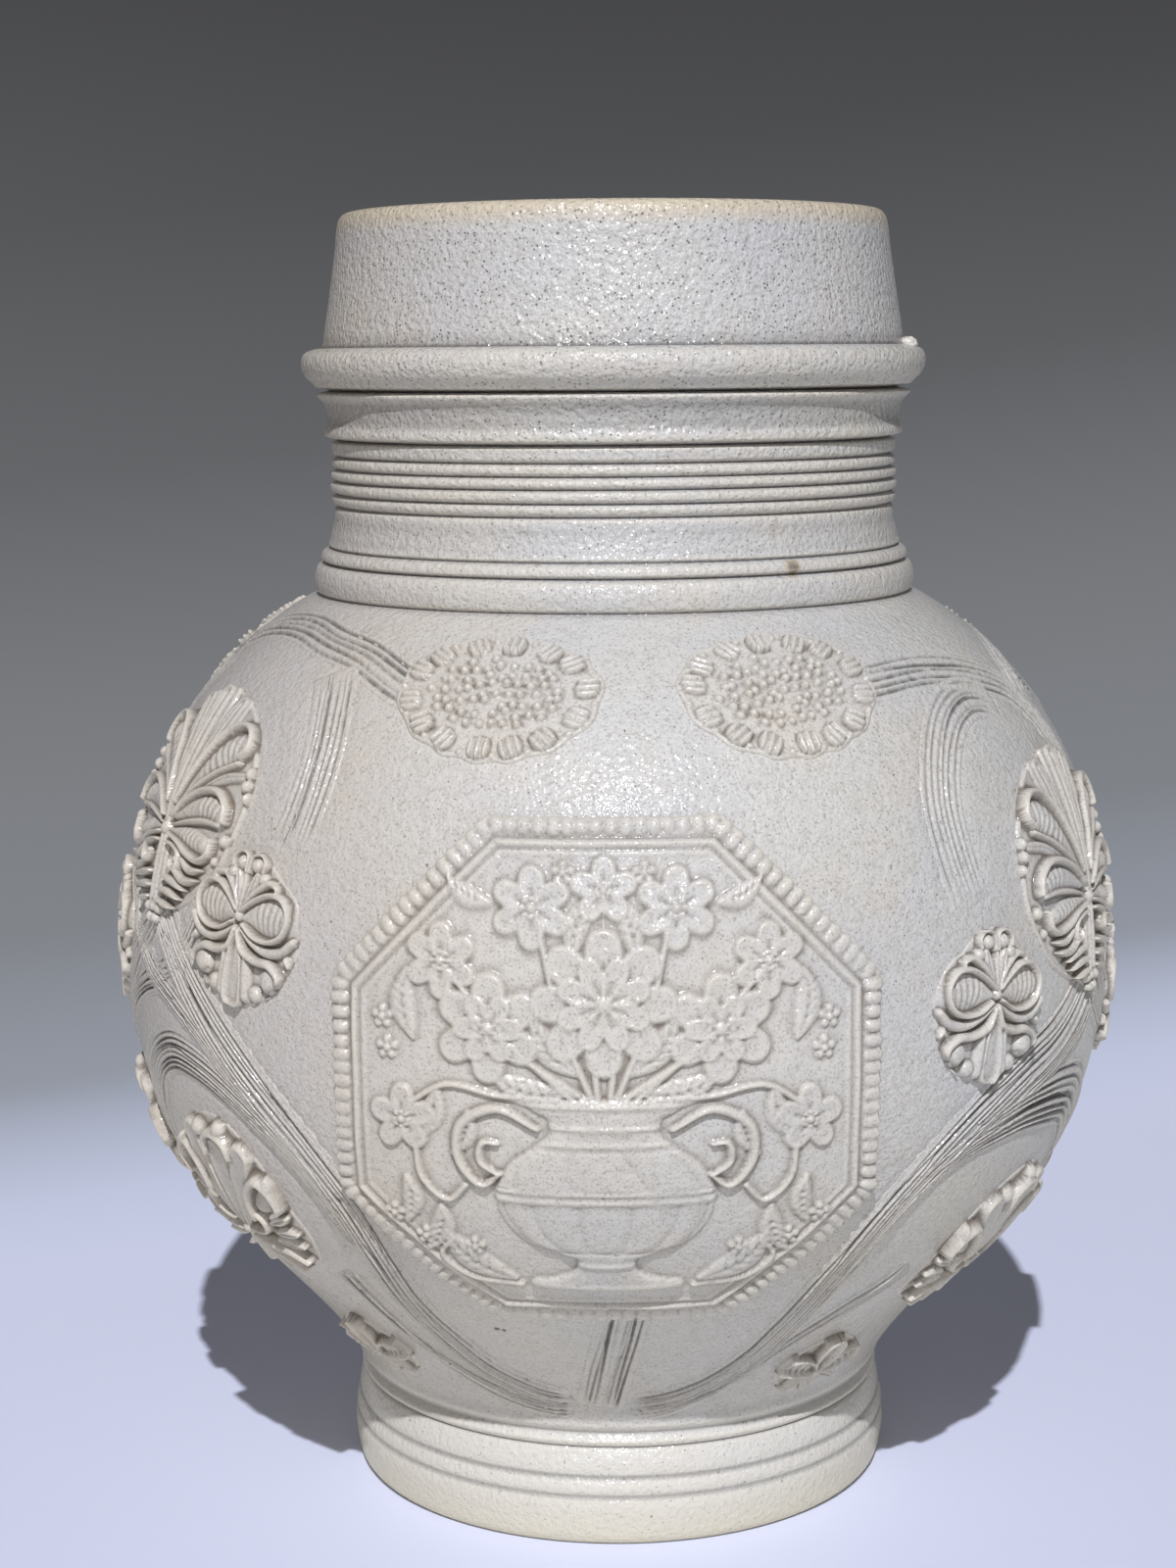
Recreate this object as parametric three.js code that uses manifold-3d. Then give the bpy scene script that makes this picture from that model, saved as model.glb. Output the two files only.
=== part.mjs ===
// A salt-glazed stoneware jug: a ball-shaped belly on a turned foot, a cordoned neck, a pulled strap handle,
// and moulded sprigs luted on with slip. Millimetres, +Z up.
// The origin is the centre of the flat underside. The medallion faces -Y and the handle stands at +Y.
// Run it with the packages three and manifold-3d.

import * as THREE from 'three';
import { mergeVertices } from 'three/addons/utils/BufferGeometryUtils.js';
import Module from 'manifold-3d';

const wasm = await Module();
wasm.setup();

// Driving sizes of the thrown body
const footRadius = 52.0;
const footSlabHeight = 18.8;
const footBeadHeight = 4.8;
const bellyRadius = 93.6;
const bellyLowerHeight = 79.4;
const bellyUpperHeight = 67.0;
const neckRadius = 53.0;
const cordonHeight = 6.1;
const beadHeight = 2.6;
const bandHeight = 7.5;
const ridgeCount = 5;
const ridgePitch = 2.48;
const ridgeDepth = 0.9;
const flangeHeight = 9.5;
const collarHeight = 7.1;
const collarSwell = 5.5;
const rimHeight = 24.8;
const rimRadius = 51.3;
const rimThickness = 5.0;
const bellyWall = 5.5;
const neckWall = 5.6;
const floorThickness = 12.0;

// Driving sizes of the strap handle
const handleWidth = 25.0;
const handleThickness = 9.5;
const handleBeyondBelly = 4.8;
const handleTopBelowCollar = 14.0;
const handleFootAboveEquator = 33.0;
const handleFlare = 1.28;

// Driving sizes of the sprigs
const medallionAcross = 93.0;
const medallionThickness = 2.4;
const rosetteWidth = 37.0;
const rosetteHeight = 27.0;
const greatPalmetteReach = 29.0;
const smallPalmetteReach = 13.6;
const lowerPalmetteReach = 24.0;
const footPalmetteReach = 10.5;
const sprigEdge = 1.0;
const sprigRelief = 2.2;
const seatGap = 0.3;
const rootDepth = 0.7;

// Where the sprigs were luted: distances round the girth from the front line, and up or down from the girth,
// the shoulder or the foot. By eye and hand, so the right-hand ones sit lower.
const medallionBelowGirth = 8.2;
const medallionLeftOfFront = 2.0;
const rosetteBelowShoulder = 20.0;
const rosettesApart = 48.8;
const rosettesRightOfFront = 4.4;
const rosetteFrontToSide = 115.0;
const besideMedallion = 9.5;
const smallToGreat = 27.6;
const smallFrontToSide = 62.0;
const smallAboveGirth = 17.5;
const greatAboveGirth = 28.5;
const sideBelowFront = 10.0;
const rightBelowLeft = 13.8;
const rightGreatFurther = 7.0;
const lowerAboveFoot = 48.5;
const lowerApart = 42.0;
const footPalmettesApart = 86.0;
const footPalmettesLeftOfFront = 5.3;
const footPalmetteAboveFoot = 12.5;

// Fineness of the facets
const turnsOfWheel = 46;
const pearlSides = 5;
const bellySteps = 14;
const wallSteps = 7;

const glaze = { color: 0xb9b5ad, roughness: 0.38, metalness: 0.0 };
const sprigGlaze = { color: 0xc3beb3, roughness: 0.36, metalness: 0.0 };

const radians = THREE.MathUtils.degToRad;

// The heights at which the parts of the outline follow each other
const footTop = footSlabHeight + footBeadHeight;
const equator = footTop + bellyLowerHeight;
const shoulder = equator + bellyUpperHeight;
const bandBase = shoulder + cordonHeight + beadHeight;
const ridgeBase = bandBase + bandHeight;
const flangeBase = ridgeBase + ridgeCount * ridgePitch;
const collarBase = flangeBase + flangeHeight;
const rimBase = collarBase + collarHeight;
const rimTop = rimBase + rimHeight;

// Outline of the turned foot, from the underside up: [radius, height]
function footOutline() {
  const slab = [[-1.4, 0], [-0.4, 0.18], [0, 0.43], [-0.6, 0.65], [-2.2, 1]];
  const bead = [[-1.3, 0.08], [-1.4, 0.3], [-2.0, 0.5], [-1.0, 0.78]];
  return [
    ...slab.map(([out, share]) => [footRadius + out, footSlabHeight * share]),
    ...bead.map(([out, share]) => [footRadius + out, footSlabHeight + footBeadHeight * share]),
  ];
}

// The belly's meridian: one curve from the foot to the girth, one from the girth to the neck.
const bellyMeridian = new THREE.CurvePath();
bellyMeridian.add(new THREE.CubicBezierCurve(
  new THREE.Vector2(footRadius - 1.0, footTop),
  new THREE.Vector2(footRadius + 0.29 * (bellyRadius - footRadius), footTop + 0.3 * bellyLowerHeight),
  new THREE.Vector2(bellyRadius, equator - 0.56 * bellyLowerHeight),
  new THREE.Vector2(bellyRadius, equator),
));
bellyMeridian.add(new THREE.CubicBezierCurve(
  new THREE.Vector2(bellyRadius, equator),
  new THREE.Vector2(bellyRadius, equator + 0.3 * bellyUpperHeight),
  new THREE.Vector2(neckRadius + 0.85 * (bellyRadius - neckRadius), equator + 0.75 * bellyUpperHeight),
  new THREE.Vector2(neckRadius + 3.6, shoulder),
));
const meridianLength = bellyMeridian.getLength();
const girthAt = bellyMeridian.curves[0].getLength();

// The point and the outward normal of the belly at a distance up its meridian
function onMeridian(distance) {
  const share = THREE.MathUtils.clamp(distance / meridianLength, 0, 1);
  const point = bellyMeridian.getPointAt(share);
  const tangent = bellyMeridian.getTangentAt(share);
  return { radius: point.x, height: point.y, normal: new THREE.Vector2(tangent.y, -tangent.x) };
}

function bellyOutline(steps, inset = 0) {
  const outline = [];
  for (let step = 0; step <= steps; step += 1) {
    const { radius, height, normal } = onMeridian(meridianLength * step / steps);
    outline.push([radius - inset * normal.x, height - inset * normal.y]);
  }
  return outline;
}

// Outline of the neck from the shoulder to the inside of the lip: cordon, bead, plain band, ridges,
// flange, collar and rim band.
function neckOutline() {
  const outline = [];
  const turn = (base, height, shape) => {
    shape.forEach(([out, share]) => outline.push([neckRadius + out, base + height * share]));
  };
  turn(shoulder, cordonHeight, [[3.4, 0.08], [3.5, 0.5], [1.3, 1]]);
  turn(shoulder + cordonHeight, beadHeight, [[2.3, 0.45], [0.6, 1]]);
  turn(bandBase, bandHeight, [[0.5, 0.25], [-0.4, 0.85]]);
  for (let ridge = 0; ridge < ridgeCount; ridge += 1) {
    turn(ridgeBase + ridge * ridgePitch, ridgePitch, [[-ridgeDepth, 0], [0, 0.5]]);
  }
  turn(flangeBase, flangeHeight, [[-1.1, 0], [1.1, 0.13], [0.7, 0.47], [2.4, 0.88], [-0.6, 0.95]]);
  turn(collarBase, collarHeight, [
    [0.55 * collarSwell, 0.06], [0.91 * collarSwell, 0.35], [collarSwell, 0.68], [0.75 * collarSwell, 0.93],
  ]);
  outline.push([rimRadius + 3.2, rimBase + 0.03 * rimHeight]);
  outline.push([rimRadius + 1.7, rimBase + 0.4 * rimHeight]);
  outline.push([rimRadius, rimBase + 0.9 * rimHeight]);
  outline.push([rimRadius - 0.25 * rimThickness, rimTop]);
  outline.push([rimRadius - 0.75 * rimThickness, rimTop]);
  outline.push([rimRadius - rimThickness, rimTop - 0.6 * rimThickness]);
  return outline;
}

// Outline of the inside, from the neck's bore down to the middle of the floor
function insideOutline() {
  const bore = neckRadius - neckWall;
  const wall = bellyOutline(wallSteps, bellyWall).reverse().slice(1, -1);
  const [lowRadius, lowHeight] = wall[wall.length - 1];
  const rise = lowHeight - floorThickness;
  return [
    [bore, collarBase],
    [bore, shoulder - 0.4 * neckWall],
    ...wall,
    [0.72 * lowRadius, floorThickness + 0.42 * rise],
    [0.38 * lowRadius, floorThickness + 0.08 * rise],
    [0, floorThickness],
  ];
}

// A solid of revolution about Z from an outline that starts and ends on the axis
function revolve(outline) {
  const profile = outline.map(([radius, height]) => new THREE.Vector2(radius, height));
  const geometry = new THREE.LatheGeometry(profile, turnsOfWheel);
  return geometry.rotateX(Math.PI / 2);
}

function outsideOutline() {
  return [[0, 0], ...footOutline(), ...bellyOutline(bellySteps), ...neckOutline()];
}

function thrownBody() {
  return revolve([...outsideOutline(), ...insideOutline()]);
}

// Booleans
function toSolid(geometry) {
  const bare = new THREE.BufferGeometry();
  bare.setAttribute('position', geometry.getAttribute('position').clone());
  bare.setIndex(geometry.getIndex());
  const merged = mergeVertices(bare, 1e-4);
  const corners = merged.getIndex().array;
  const kept = [];
  for (let k = 0; k < corners.length; k += 3) {
    const [a, b, c] = [corners[k], corners[k + 1], corners[k + 2]];
    if (a !== b && b !== c && c !== a) kept.push(a, b, c);
  }
  return new wasm.Manifold(new wasm.Mesh({
    numProp: 3,
    vertProperties: Float32Array.from(merged.getAttribute('position').array),
    triVerts: Uint32Array.from(kept),
  }));
}

function toGeometry(solid) {
  const mesh = solid.getMesh();
  const geometry = new THREE.BufferGeometry();
  geometry.setAttribute('position', new THREE.BufferAttribute(Float32Array.from(mesh.vertProperties), 3));
  geometry.setIndex(new THREE.BufferAttribute(Uint32Array.from(mesh.triVerts), 1));
  return geometry;
}

function join(geometries) {
  const [first, ...others] = geometries.map(toSolid);
  return toGeometry(others.reduce((whole, next) => whole.add(next), first));
}

// Clay pressed in a flat mould, laid out on spokes round (0, 0): u to the right, v up, w out of the mould.
// A spoke has its angle clockwise from up, its reach, and carve(share of the reach), the height of the front.
function pressClay({ spokes, frontRings, backRings, middle, back = seatGap }) {
  const positions = [0, 0, middle];
  const triangles = [];
  const count = spokes.length;
  const addRing = (share, height) => {
    const start = positions.length / 3;
    spokes.forEach((spoke) => {
      const r = spoke.reach * share;
      positions.push(r * Math.sin(spoke.angle), r * Math.cos(spoke.angle), height(spoke, share));
    });
    return start;
  };
  const stitch = (inner, outer) => {
    for (let k = 0; k < count; k += 1) {
      const next = (k + 1) % count;
      triangles.push(inner + k, outer + next, outer + k);
      triangles.push(inner + k, inner + next, outer + next);
    }
  };
  let last = addRing(frontRings[0], (spoke, share) => spoke.carve(share));
  for (let k = 0; k < count; k += 1) triangles.push(0, last + (k + 1) % count, last + k);
  frontRings.slice(1).forEach((share) => {
    const ring = addRing(share, (spoke) => spoke.carve(share));
    stitch(last, ring);
    last = ring;
  });
  for (let step = backRings; step > 0; step -= 1) {
    const ring = addRing(step / backRings, () => back);
    stitch(last, ring);
    last = ring;
  }
  const backMiddle = positions.length / 3;
  positions.push(0, 0, back);
  for (let k = 0; k < count; k += 1) triangles.push(last + k, last + (k + 1) % count, backMiddle);
  const geometry = new THREE.BufferGeometry();
  geometry.setAttribute('position', new THREE.BufferAttribute(Float32Array.from(positions), 3));
  geometry.setIndex(triangles);
  return geometry;
}

// A round pearl or berry of clay, standing on a face at height w and rooted in it
function pearl({ u, v, w, across, rise = across / 2 }) {
  const spokes = [];
  for (let k = 0; k < pearlSides; k += 1) {
    spokes.push({ angle: 2 * Math.PI * k / pearlSides, reach: across / 2, carve: () => w + 0.75 * rise });
  }
  return pressClay({ spokes, frontRings: [0.62], backRings: 1, middle: w + rise, back: w - rootDepth })
    .translate(u, v, 0);
}

// Bends a flat sprig on to the belly, with its middle `around` the girth from the front line and `up` the
// meridian, and turned clockwise in its own plane.
function lute(flat, { around, up, turn = 0 }) {
  const geometry = flat.clone().rotateZ(-radians(turn));
  const position = geometry.getAttribute('position');
  const centre = around / onMeridian(up).radius;
  for (let k = 0; k < position.count; k += 1) {
    const seat = onMeridian(up + position.getY(k));
    const azimuth = centre + position.getX(k) / seat.radius;
    const radius = seat.radius + position.getZ(k) * seat.normal.x;
    const height = seat.height + position.getZ(k) * seat.normal.y;
    position.setXYZ(k, radius * Math.sin(azimuth), -radius * Math.cos(azimuth), height);
  }
  return geometry;
}

// The octagonal medallion: a pearl bed round the edge, a double fillet, and a sunk field with a footed vase
// of flowers between leafy scrolls.
function medallion() {
  const sides = 8;
  const spokesPerSide = 4;
  const apothem = medallionAcross / 2;
  const face = seatGap + medallionThickness;
  const sideAngle = 2 * Math.PI / sides;
  const border = [
    [1, face - 0.3], [0.965, face + 0.5], [0.93, face - 0.2], [0.905, face + 0.7], [0.87, face + 0.5],
    [0.845, face - 0.5], [0.6, face - 0.5], [0.4, face - 0.5], [0.2, face - 0.5],
  ];
  const height = new Map(border);
  const spokes = [];
  for (let k = 0; k < sides * spokesPerSide; k += 1) {
    const along = 2 * (k % spokesPerSide) / spokesPerSide - 1;
    const across = Math.atan(along * Math.tan(sideAngle / 2));
    const angle = Math.floor(k / spokesPerSide) * sideAngle + across;
    spokes.push({ angle, reach: apothem / Math.cos(across), carve: (share) => height.get(share) });
  }
  const plate = pressClay({
    spokes,
    frontRings: border.map(([share]) => share).reverse(),
    backRings: 5,
    middle: face - 0.5,
    back: 1.2 * seatGap,
  });
  return join([plate, ...bouquet(face - 0.5)]);
}

// A flower, seen from the front: petals round a button
function flower({ u, v, w, petals, reach, rise }) {
  const spokes = [];
  for (let k = 0; k < 2 * petals; k += 1) {
    const crest = k % 2 === 0;
    spokes.push({
      angle: Math.PI * k / petals,
      reach: crest ? reach : 0.78 * reach,
      carve: (share) => w + (share > 0.8 ? 0.1 : 1) * rise * (crest ? 1 : 0.45),
    });
  }
  const button = w + 0.3 * rise;
  const back = w - rootDepth;
  const corolla = pressClay({ spokes, frontRings: [0.55, 1], backRings: 1, middle: button, back });
  return [
    corolla.translate(u, v, 0),
    pearl({ u, v, w: button, across: 0.6 * reach, rise: 0.9 * rise }),
  ];
}

// A pointed leaf with a raised middle, rooted at u, v
function leaf({ u, v, w, length, width, turn, rise }) {
  const shoulderAngle = Math.atan(0.9 * width / length);
  const shoulderReach = 0.36 * length;
  const half = [0, shoulderAngle, Math.PI - shoulderAngle];
  const angles = [...half, ...half.map((angle) => angle + Math.PI)];
  const spokes = angles.map((angle) => ({
    angle,
    reach: Math.sin(angle) ** 2 < 1e-6 ? length / 2 : shoulderReach,
    carve: () => w + 0.1,
  }));
  return pressClay({ spokes, frontRings: [1], backRings: 1, middle: w + rise, back: w - rootDepth })
    .translate(0, length / 2, 0)
    .rotateZ(-radians(turn))
    .translate(u, v, 0);
}

// What stands on the medallion's field, with its face at height w: a footed vase and a bunch of flowers
function bouquet(w) {
  const rise = sprigRelief;
  const vaseFoot = -36;
  const vaseOutline = [[0, 0], [8.5, 0], [8, 2.2], [3, 5], [4, 7.4], [11.5, 12], [12.2, 16.5], [8.6, 21.4],
    [5.2, 23.6], [8, 27.4], [8.4, 28.6], [0, 28.6]];
  const mouth = vaseFoot + vaseOutline[vaseOutline.length - 1][1];
  const vase = new THREE.LatheGeometry(vaseOutline.map(([r, h]) => new THREE.Vector2(r, h)), 10)
    .scale(1, 1, 0.15)
    .translate(0, vaseFoot, w);
  const pieces = [vase, ...flower({ u: 0, v: 13, w, petals: 8, reach: 12, rise: 0.9 * rise })];
  [-1, 1].forEach((side) => {
    pieces.push(...flower({ u: side * 20, v: 4, w, petals: 6, reach: 9, rise: 0.8 * rise }));
    pieces.push(...flower({ u: side * 15.5, v: 26, w, petals: 6, reach: 7, rise: 0.7 * rise }));
    [[3, mouth + 1, 17, 6, 62], [3.5, mouth + 7, 15, 5.5, 30], [26, -6, 15, 7, 160], [14, -33, 18, 8, 64],
      [27, 13, 13, 6, 12]].forEach(([u, v, length, width, turn]) => {
      pieces.push(leaf({ u: side * u, v, w, length, width, turn: side * turn, rise: 0.6 * rise }));
    });
  });
  return pieces;
}

// The oval rosette: a ring of plump beads round a low cushion of pearls
function rosette() {
  const beads = 14;
  const face = seatGap + sprigEdge;
  const crests = new Map([[0.64, 0.3], [0.84, 1], [1, 0.35]]);
  const spokes = [];
  for (let k = 0; k < 2 * beads; k += 1) {
    const angle = Math.PI * k / beads;
    const bead = k % 2 === 0;
    const oval = rosetteWidth * rosetteHeight
      / (2 * Math.hypot(rosetteHeight * Math.sin(angle), rosetteWidth * Math.cos(angle)));
    spokes.push({
      angle,
      reach: bead ? oval : 0.94 * oval,
      carve: (share) => face + (bead ? sprigRelief : 0.15 * sprigRelief) * crests.get(share),
    });
  }
  const cushion = pressClay({ spokes, frontRings: [...crests.keys()], backRings: 2, middle: face + 0.7 });
  const pearls = [];
  [[1, 0], [7, 8]].forEach(([count, out]) => {
    for (let k = 0; k < count; k += 1) {
      const angle = 2 * Math.PI * k / count;
      const u = out * 0.6 * rosetteWidth / rosetteHeight * Math.sin(angle);
      const v = out * 0.6 * Math.cos(angle);
      pearls.push(pearl({ u, v, w: face + 0.4, across: 2.1, rise: 1.1 }));
    }
  });
  return join([cushion, ...pearls]);
}

// A palmette: leaves fanned round a node, in clockwise order from up. A leaf has its angle in degrees, its
// length as a share of the reach, and its rise. Between two leaves the clay is hollowed.
function palmette({ reach, leaves, berries = [], backRings = 2, back = seatGap }) {
  const face = seatGap + sprigEdge;
  const stops = [[0, 1, 1], [0.3, 0.97, 0.75], [0.5, 0.83, 0.1], [0.7, 0.97, 0.75]];
  const spokes = [];
  leaves.forEach((one, k) => {
    const next = leaves[(k + 1) % leaves.length];
    const gap = (next.angle - one.angle + 360) % 360;
    stops.forEach(([share, reachShare, riseShare]) => {
      const own = share > 0.5 ? next : one;
      const length = share === 0.5 ? Math.min(one.length, next.length) : own.length;
      spokes.push({
        angle: radians(one.angle + share * gap),
        reach: reach * length * reachShare,
        carve: (along) => face + own.rise * riseShare * (along < 1 ? 1 : 0.3),
      });
    });
  });
  const plate = pressClay({ spokes, frontRings: [0.78, 1], backRings, middle: face + 0.5, back });
  return join([plate, ...berries.map(([u, v, across]) => pearl({ u, v, across, w: face }))]);
}

// Both halves of a symmetrical fan: the leaf that points up, the pairs, and the one that points down
function fan(up, pairs, down) {
  const right = pairs.map(([angle, length, rise]) => ({ angle, length, rise }));
  const left = right.map(({ angle, length, rise }) => ({ angle: 360 - angle, length, rise })).reverse();
  const tip = { angle: 0, length: up, rise: sprigRelief };
  const stem = { angle: 180, length: down, rise: 1.4 };
  return [tip, ...right, stem, ...left];
}

// A tall leaf between hollow ones, small curls below and a cluster of berries at the tip
function greatPalmette() {
  return palmette({
    reach: greatPalmetteReach,
    leaves: fan(1, [[33, 0.95, 2.2], [64, 0.85, 2.3], [93, 0.74, 2.2], [122, 0.63, 1.8], [150, 0.53, 1.6]],
      0.5),
    berries: [[-1.9, -14.4, 2.6], [1.9, -14.4, 2.6], [-21, 3, 2.6], [21, 3, 2.6]],
    backRings: 3,
  });
}

// A bud over two ribbed shells, with round lobes below
function smallPalmette() {
  return palmette({
    reach: smallPalmetteReach,
    leaves: fan(0.96, [[38, 0.74, 1.3], [84, 1, 2.4], [132, 0.98, 1.9]], 1.02),
    berries: [[-2.6, 10, 3], [2.6, 10, 3]],
  });
}

// A fan of bent leaves over two scrolls
function lowerPalmette() {
  return palmette({
    reach: lowerPalmetteReach,
    leaves: fan(1, [[30, 0.98, 2.2], [62, 0.84, 2.3], [100, 0.56, 2.0]], 0.4),
    berries: [[-8.5, 19.5, 2.8], [8.5, 19.5, 2.8]],
    backRings: 3,
  });
}

// Three lobes over two small ones
function footPalmette() {
  return palmette({ reach: footPalmetteReach, leaves: fan(1, [[66, 0.9, 1.8]], 0.6), back: 1.5 * seatGap });
}

// The pulled strap handle: a ribbed section swept along its bow, then trimmed to sit on neck and belly
function strapHandle() {
  const topHeight = collarBase - handleTopBelowCollar;
  const seat = onMeridian(girthAt + handleFootAboveEquator);
  const back = bellyRadius + handleBeyondBelly - 0.57 * handleThickness;
  const standOff = back - neckRadius;
  const drop = topHeight - seat.height;
  const sink = 1.2 * handleThickness;
  const spring = 0.26 * handleThickness;
  const bow = new THREE.CatmullRomCurve3([
    new THREE.Vector3(0, neckRadius - sink, topHeight - 0.2 * spring),
    new THREE.Vector3(0, neckRadius + 0.22 * standOff, topHeight + spring),
    new THREE.Vector3(0, back - 0.3 * standOff, topHeight + 0.4 * spring),
    new THREE.Vector3(0, back - 0.2 * spring, topHeight - 0.24 * drop),
    new THREE.Vector3(0, back + 0.4 * spring, topHeight - 0.5 * drop),
    new THREE.Vector3(0, seat.radius + 0.1 * standOff, seat.height + 0.2 * drop),
    new THREE.Vector3(0, seat.radius - sink, seat.height - 1.2 * spring),
  ]);
  const section = [[-1, 0], [-0.8, 0.86], [-0.42, 0.62], [0, 0.92], [0.42, 0.62], [0.8, 0.86], [1, 0],
    [0.74, -0.82], [0, -0.96], [-0.74, -0.82]];
  const stations = 22;
  const positions = [];
  const triangles = [];
  const across = section.length;
  for (let k = 0; k <= stations; k += 1) {
    const share = k / stations;
    const point = bow.getPointAt(share);
    const tangent = bow.getTangentAt(share);
    const out = new THREE.Vector3(0, tangent.z, -tangent.y).negate();
    const flare = 1 + (handleFlare - 1) * Math.abs(2 * share - 1) ** 3;
    section.forEach(([x, t]) => {
      const place = point.clone().addScaledVector(out, t * handleThickness / 2);
      positions.push(x * flare * handleWidth / 2, place.y, place.z);
    });
  }
  for (let k = 0; k < stations; k += 1) {
    for (let j = 0; j < across; j += 1) {
      const [a, b] = [k * across + j, k * across + (j + 1) % across];
      triangles.push(a, b, b + across, a, b + across, a + across);
    }
  }
  for (let j = 1; j < across - 1; j += 1) {
    const end = stations * across;
    triangles.push(0, j + 1, j, end, end + j, end + j + 1);
  }
  const strap = new THREE.BufferGeometry();
  strap.setAttribute('position', new THREE.BufferAttribute(Float32Array.from(positions), 3));
  strap.setIndex(triangles);
  const spread = 1.4 * seatGap;
  const seatOutline = outsideOutline().map(([radius, height]) => [radius && radius + spread, height]);
  const solid = toSolid(strap).subtract(toSolid(revolve([...seatOutline, [0, rimTop]])));
  return toGeometry(solid);
}

// Places in the sprigs' own measure: around the girth, and up the meridian from the foot
const smallAround = medallionAcross / 2 + besideMedallion + smallPalmetteReach;
const greatAround = smallAround + smallToGreat;
const lowerAround = medallionAcross / 2 + besideMedallion + 0.84 * lowerPalmetteReach;
const rosetteUp = meridianLength - rosetteBelowShoulder;
const medallionUp = girthAt - medallionBelowGirth;
const places = [
  { name: 'octagonal_medallion', mould: medallion, around: -medallionLeftOfFront, up: medallionUp },
];
const hands = [['left', -1, 0, 0], ['right', 1, rightBelowLeft, rightGreatFurther]];
hands.forEach(([hand, side, lower, further]) => {
  const rosetteAround = rosettesRightOfFront + side * rosettesApart / 2;
  const smallUp = girthAt + smallAboveGirth - lower;
  places.push(
    {
      name: `shoulder_rosette_front_${hand}`,
      mould: rosette,
      around: rosetteAround,
      up: rosetteUp,
      turn: -5 * side,
    },
    {
      name: `shoulder_rosette_side_${hand}`,
      mould: rosette,
      around: rosetteAround + side * rosetteFrontToSide,
      up: rosetteUp,
    },
    {
      name: `great_palmette_${hand}`,
      mould: greatPalmette,
      around: side * (greatAround + further),
      up: girthAt + greatAboveGirth - lower,
      turn: -2 * side,
    },
    {
      name: `small_palmette_front_${hand}`,
      mould: smallPalmette,
      around: side * smallAround,
      up: smallUp,
      turn: 4,
    },
    {
      name: `small_palmette_side_${hand}`,
      mould: smallPalmette,
      around: side * (smallAround + smallFrontToSide + further),
      up: smallUp - sideBelowFront,
      turn: -4,
    },
    {
      name: `lower_palmette_front_${hand}`,
      mould: lowerPalmette,
      around: side * lowerAround,
      up: lowerAboveFoot - lower,
      turn: -8 * side,
    },
    {
      name: `lower_palmette_side_${hand}`,
      mould: lowerPalmette,
      around: side * (lowerAround + lowerApart),
      up: lowerAboveFoot - lower,
    },
    {
      name: `foot_palmette_${hand}`,
      mould: footPalmette,
      around: side * footPalmettesApart / 2 - footPalmettesLeftOfFront,
      up: footPalmetteAboveFoot - 0.2 * lower,
    },
  );
});

function sub(name, geometry, { color, roughness, metalness }) {
  geometry.computeVertexNormals();
  const mesh = new THREE.Mesh(geometry, new THREE.MeshStandardMaterial({ color, roughness, metalness }));
  mesh.name = name;
  return mesh;
}

const jug = new THREE.Group();
jug.add(sub('thrown_body', thrownBody(), glaze));
jug.add(sub('strap_handle', strapHandle(), glaze));
const pressed = new Map();
places.forEach(({ name, mould, ...place }) => {
  if (!pressed.has(mould)) pressed.set(mould, mould());
  jug.add(sub(name, lute(pressed.get(mould), place), sprigGlaze));
});

export default jug;
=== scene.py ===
# %% [markdown]
# # A salt-glazed stoneware jug
# The real jug is thrown and turned from pale stoneware clay, with a pulled strap handle and seventeen
# ornaments pressed in moulds and luted on with slip. Between them stems are drawn with a comb, and one
# firing with salt gives the whole pot its thin, pitted glass skin.
# The CAD frame holds each piece at its real size. This lesson dresses the frame: it builds a finer surface
# where the clay has one, and a glaze for every piece.

import math

import bpy
import numpy as np
from mathutils import Matrix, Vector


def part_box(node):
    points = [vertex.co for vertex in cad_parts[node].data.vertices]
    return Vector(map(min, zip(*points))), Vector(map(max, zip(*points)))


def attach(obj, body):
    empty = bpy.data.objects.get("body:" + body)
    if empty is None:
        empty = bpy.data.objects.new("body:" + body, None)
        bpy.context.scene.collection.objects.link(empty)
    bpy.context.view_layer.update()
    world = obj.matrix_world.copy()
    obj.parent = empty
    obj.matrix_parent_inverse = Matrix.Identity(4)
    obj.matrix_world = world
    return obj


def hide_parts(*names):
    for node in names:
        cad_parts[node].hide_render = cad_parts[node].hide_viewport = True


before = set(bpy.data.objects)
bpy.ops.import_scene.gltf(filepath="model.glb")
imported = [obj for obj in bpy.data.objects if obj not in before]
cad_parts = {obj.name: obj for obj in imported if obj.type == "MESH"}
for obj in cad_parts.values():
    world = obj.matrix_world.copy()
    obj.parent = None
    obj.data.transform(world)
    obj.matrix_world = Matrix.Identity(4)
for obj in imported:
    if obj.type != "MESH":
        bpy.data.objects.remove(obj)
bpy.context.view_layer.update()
MM = 0.001

# %% [markdown]
# The camera stands where the photographer stood: close, a little above the belly, looking slightly down.
# Its lens length fixes the perspective, so it comes first.

# %% The camera
LENS, FILM_WIDTH = 63.45, 36
CAMERA_PLACE = (0.0, -0.5255, 0.214)
LOOKS_DOWN, LOOKS_LEFT, LEANS = 8.844, 0.567, -0.45

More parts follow.
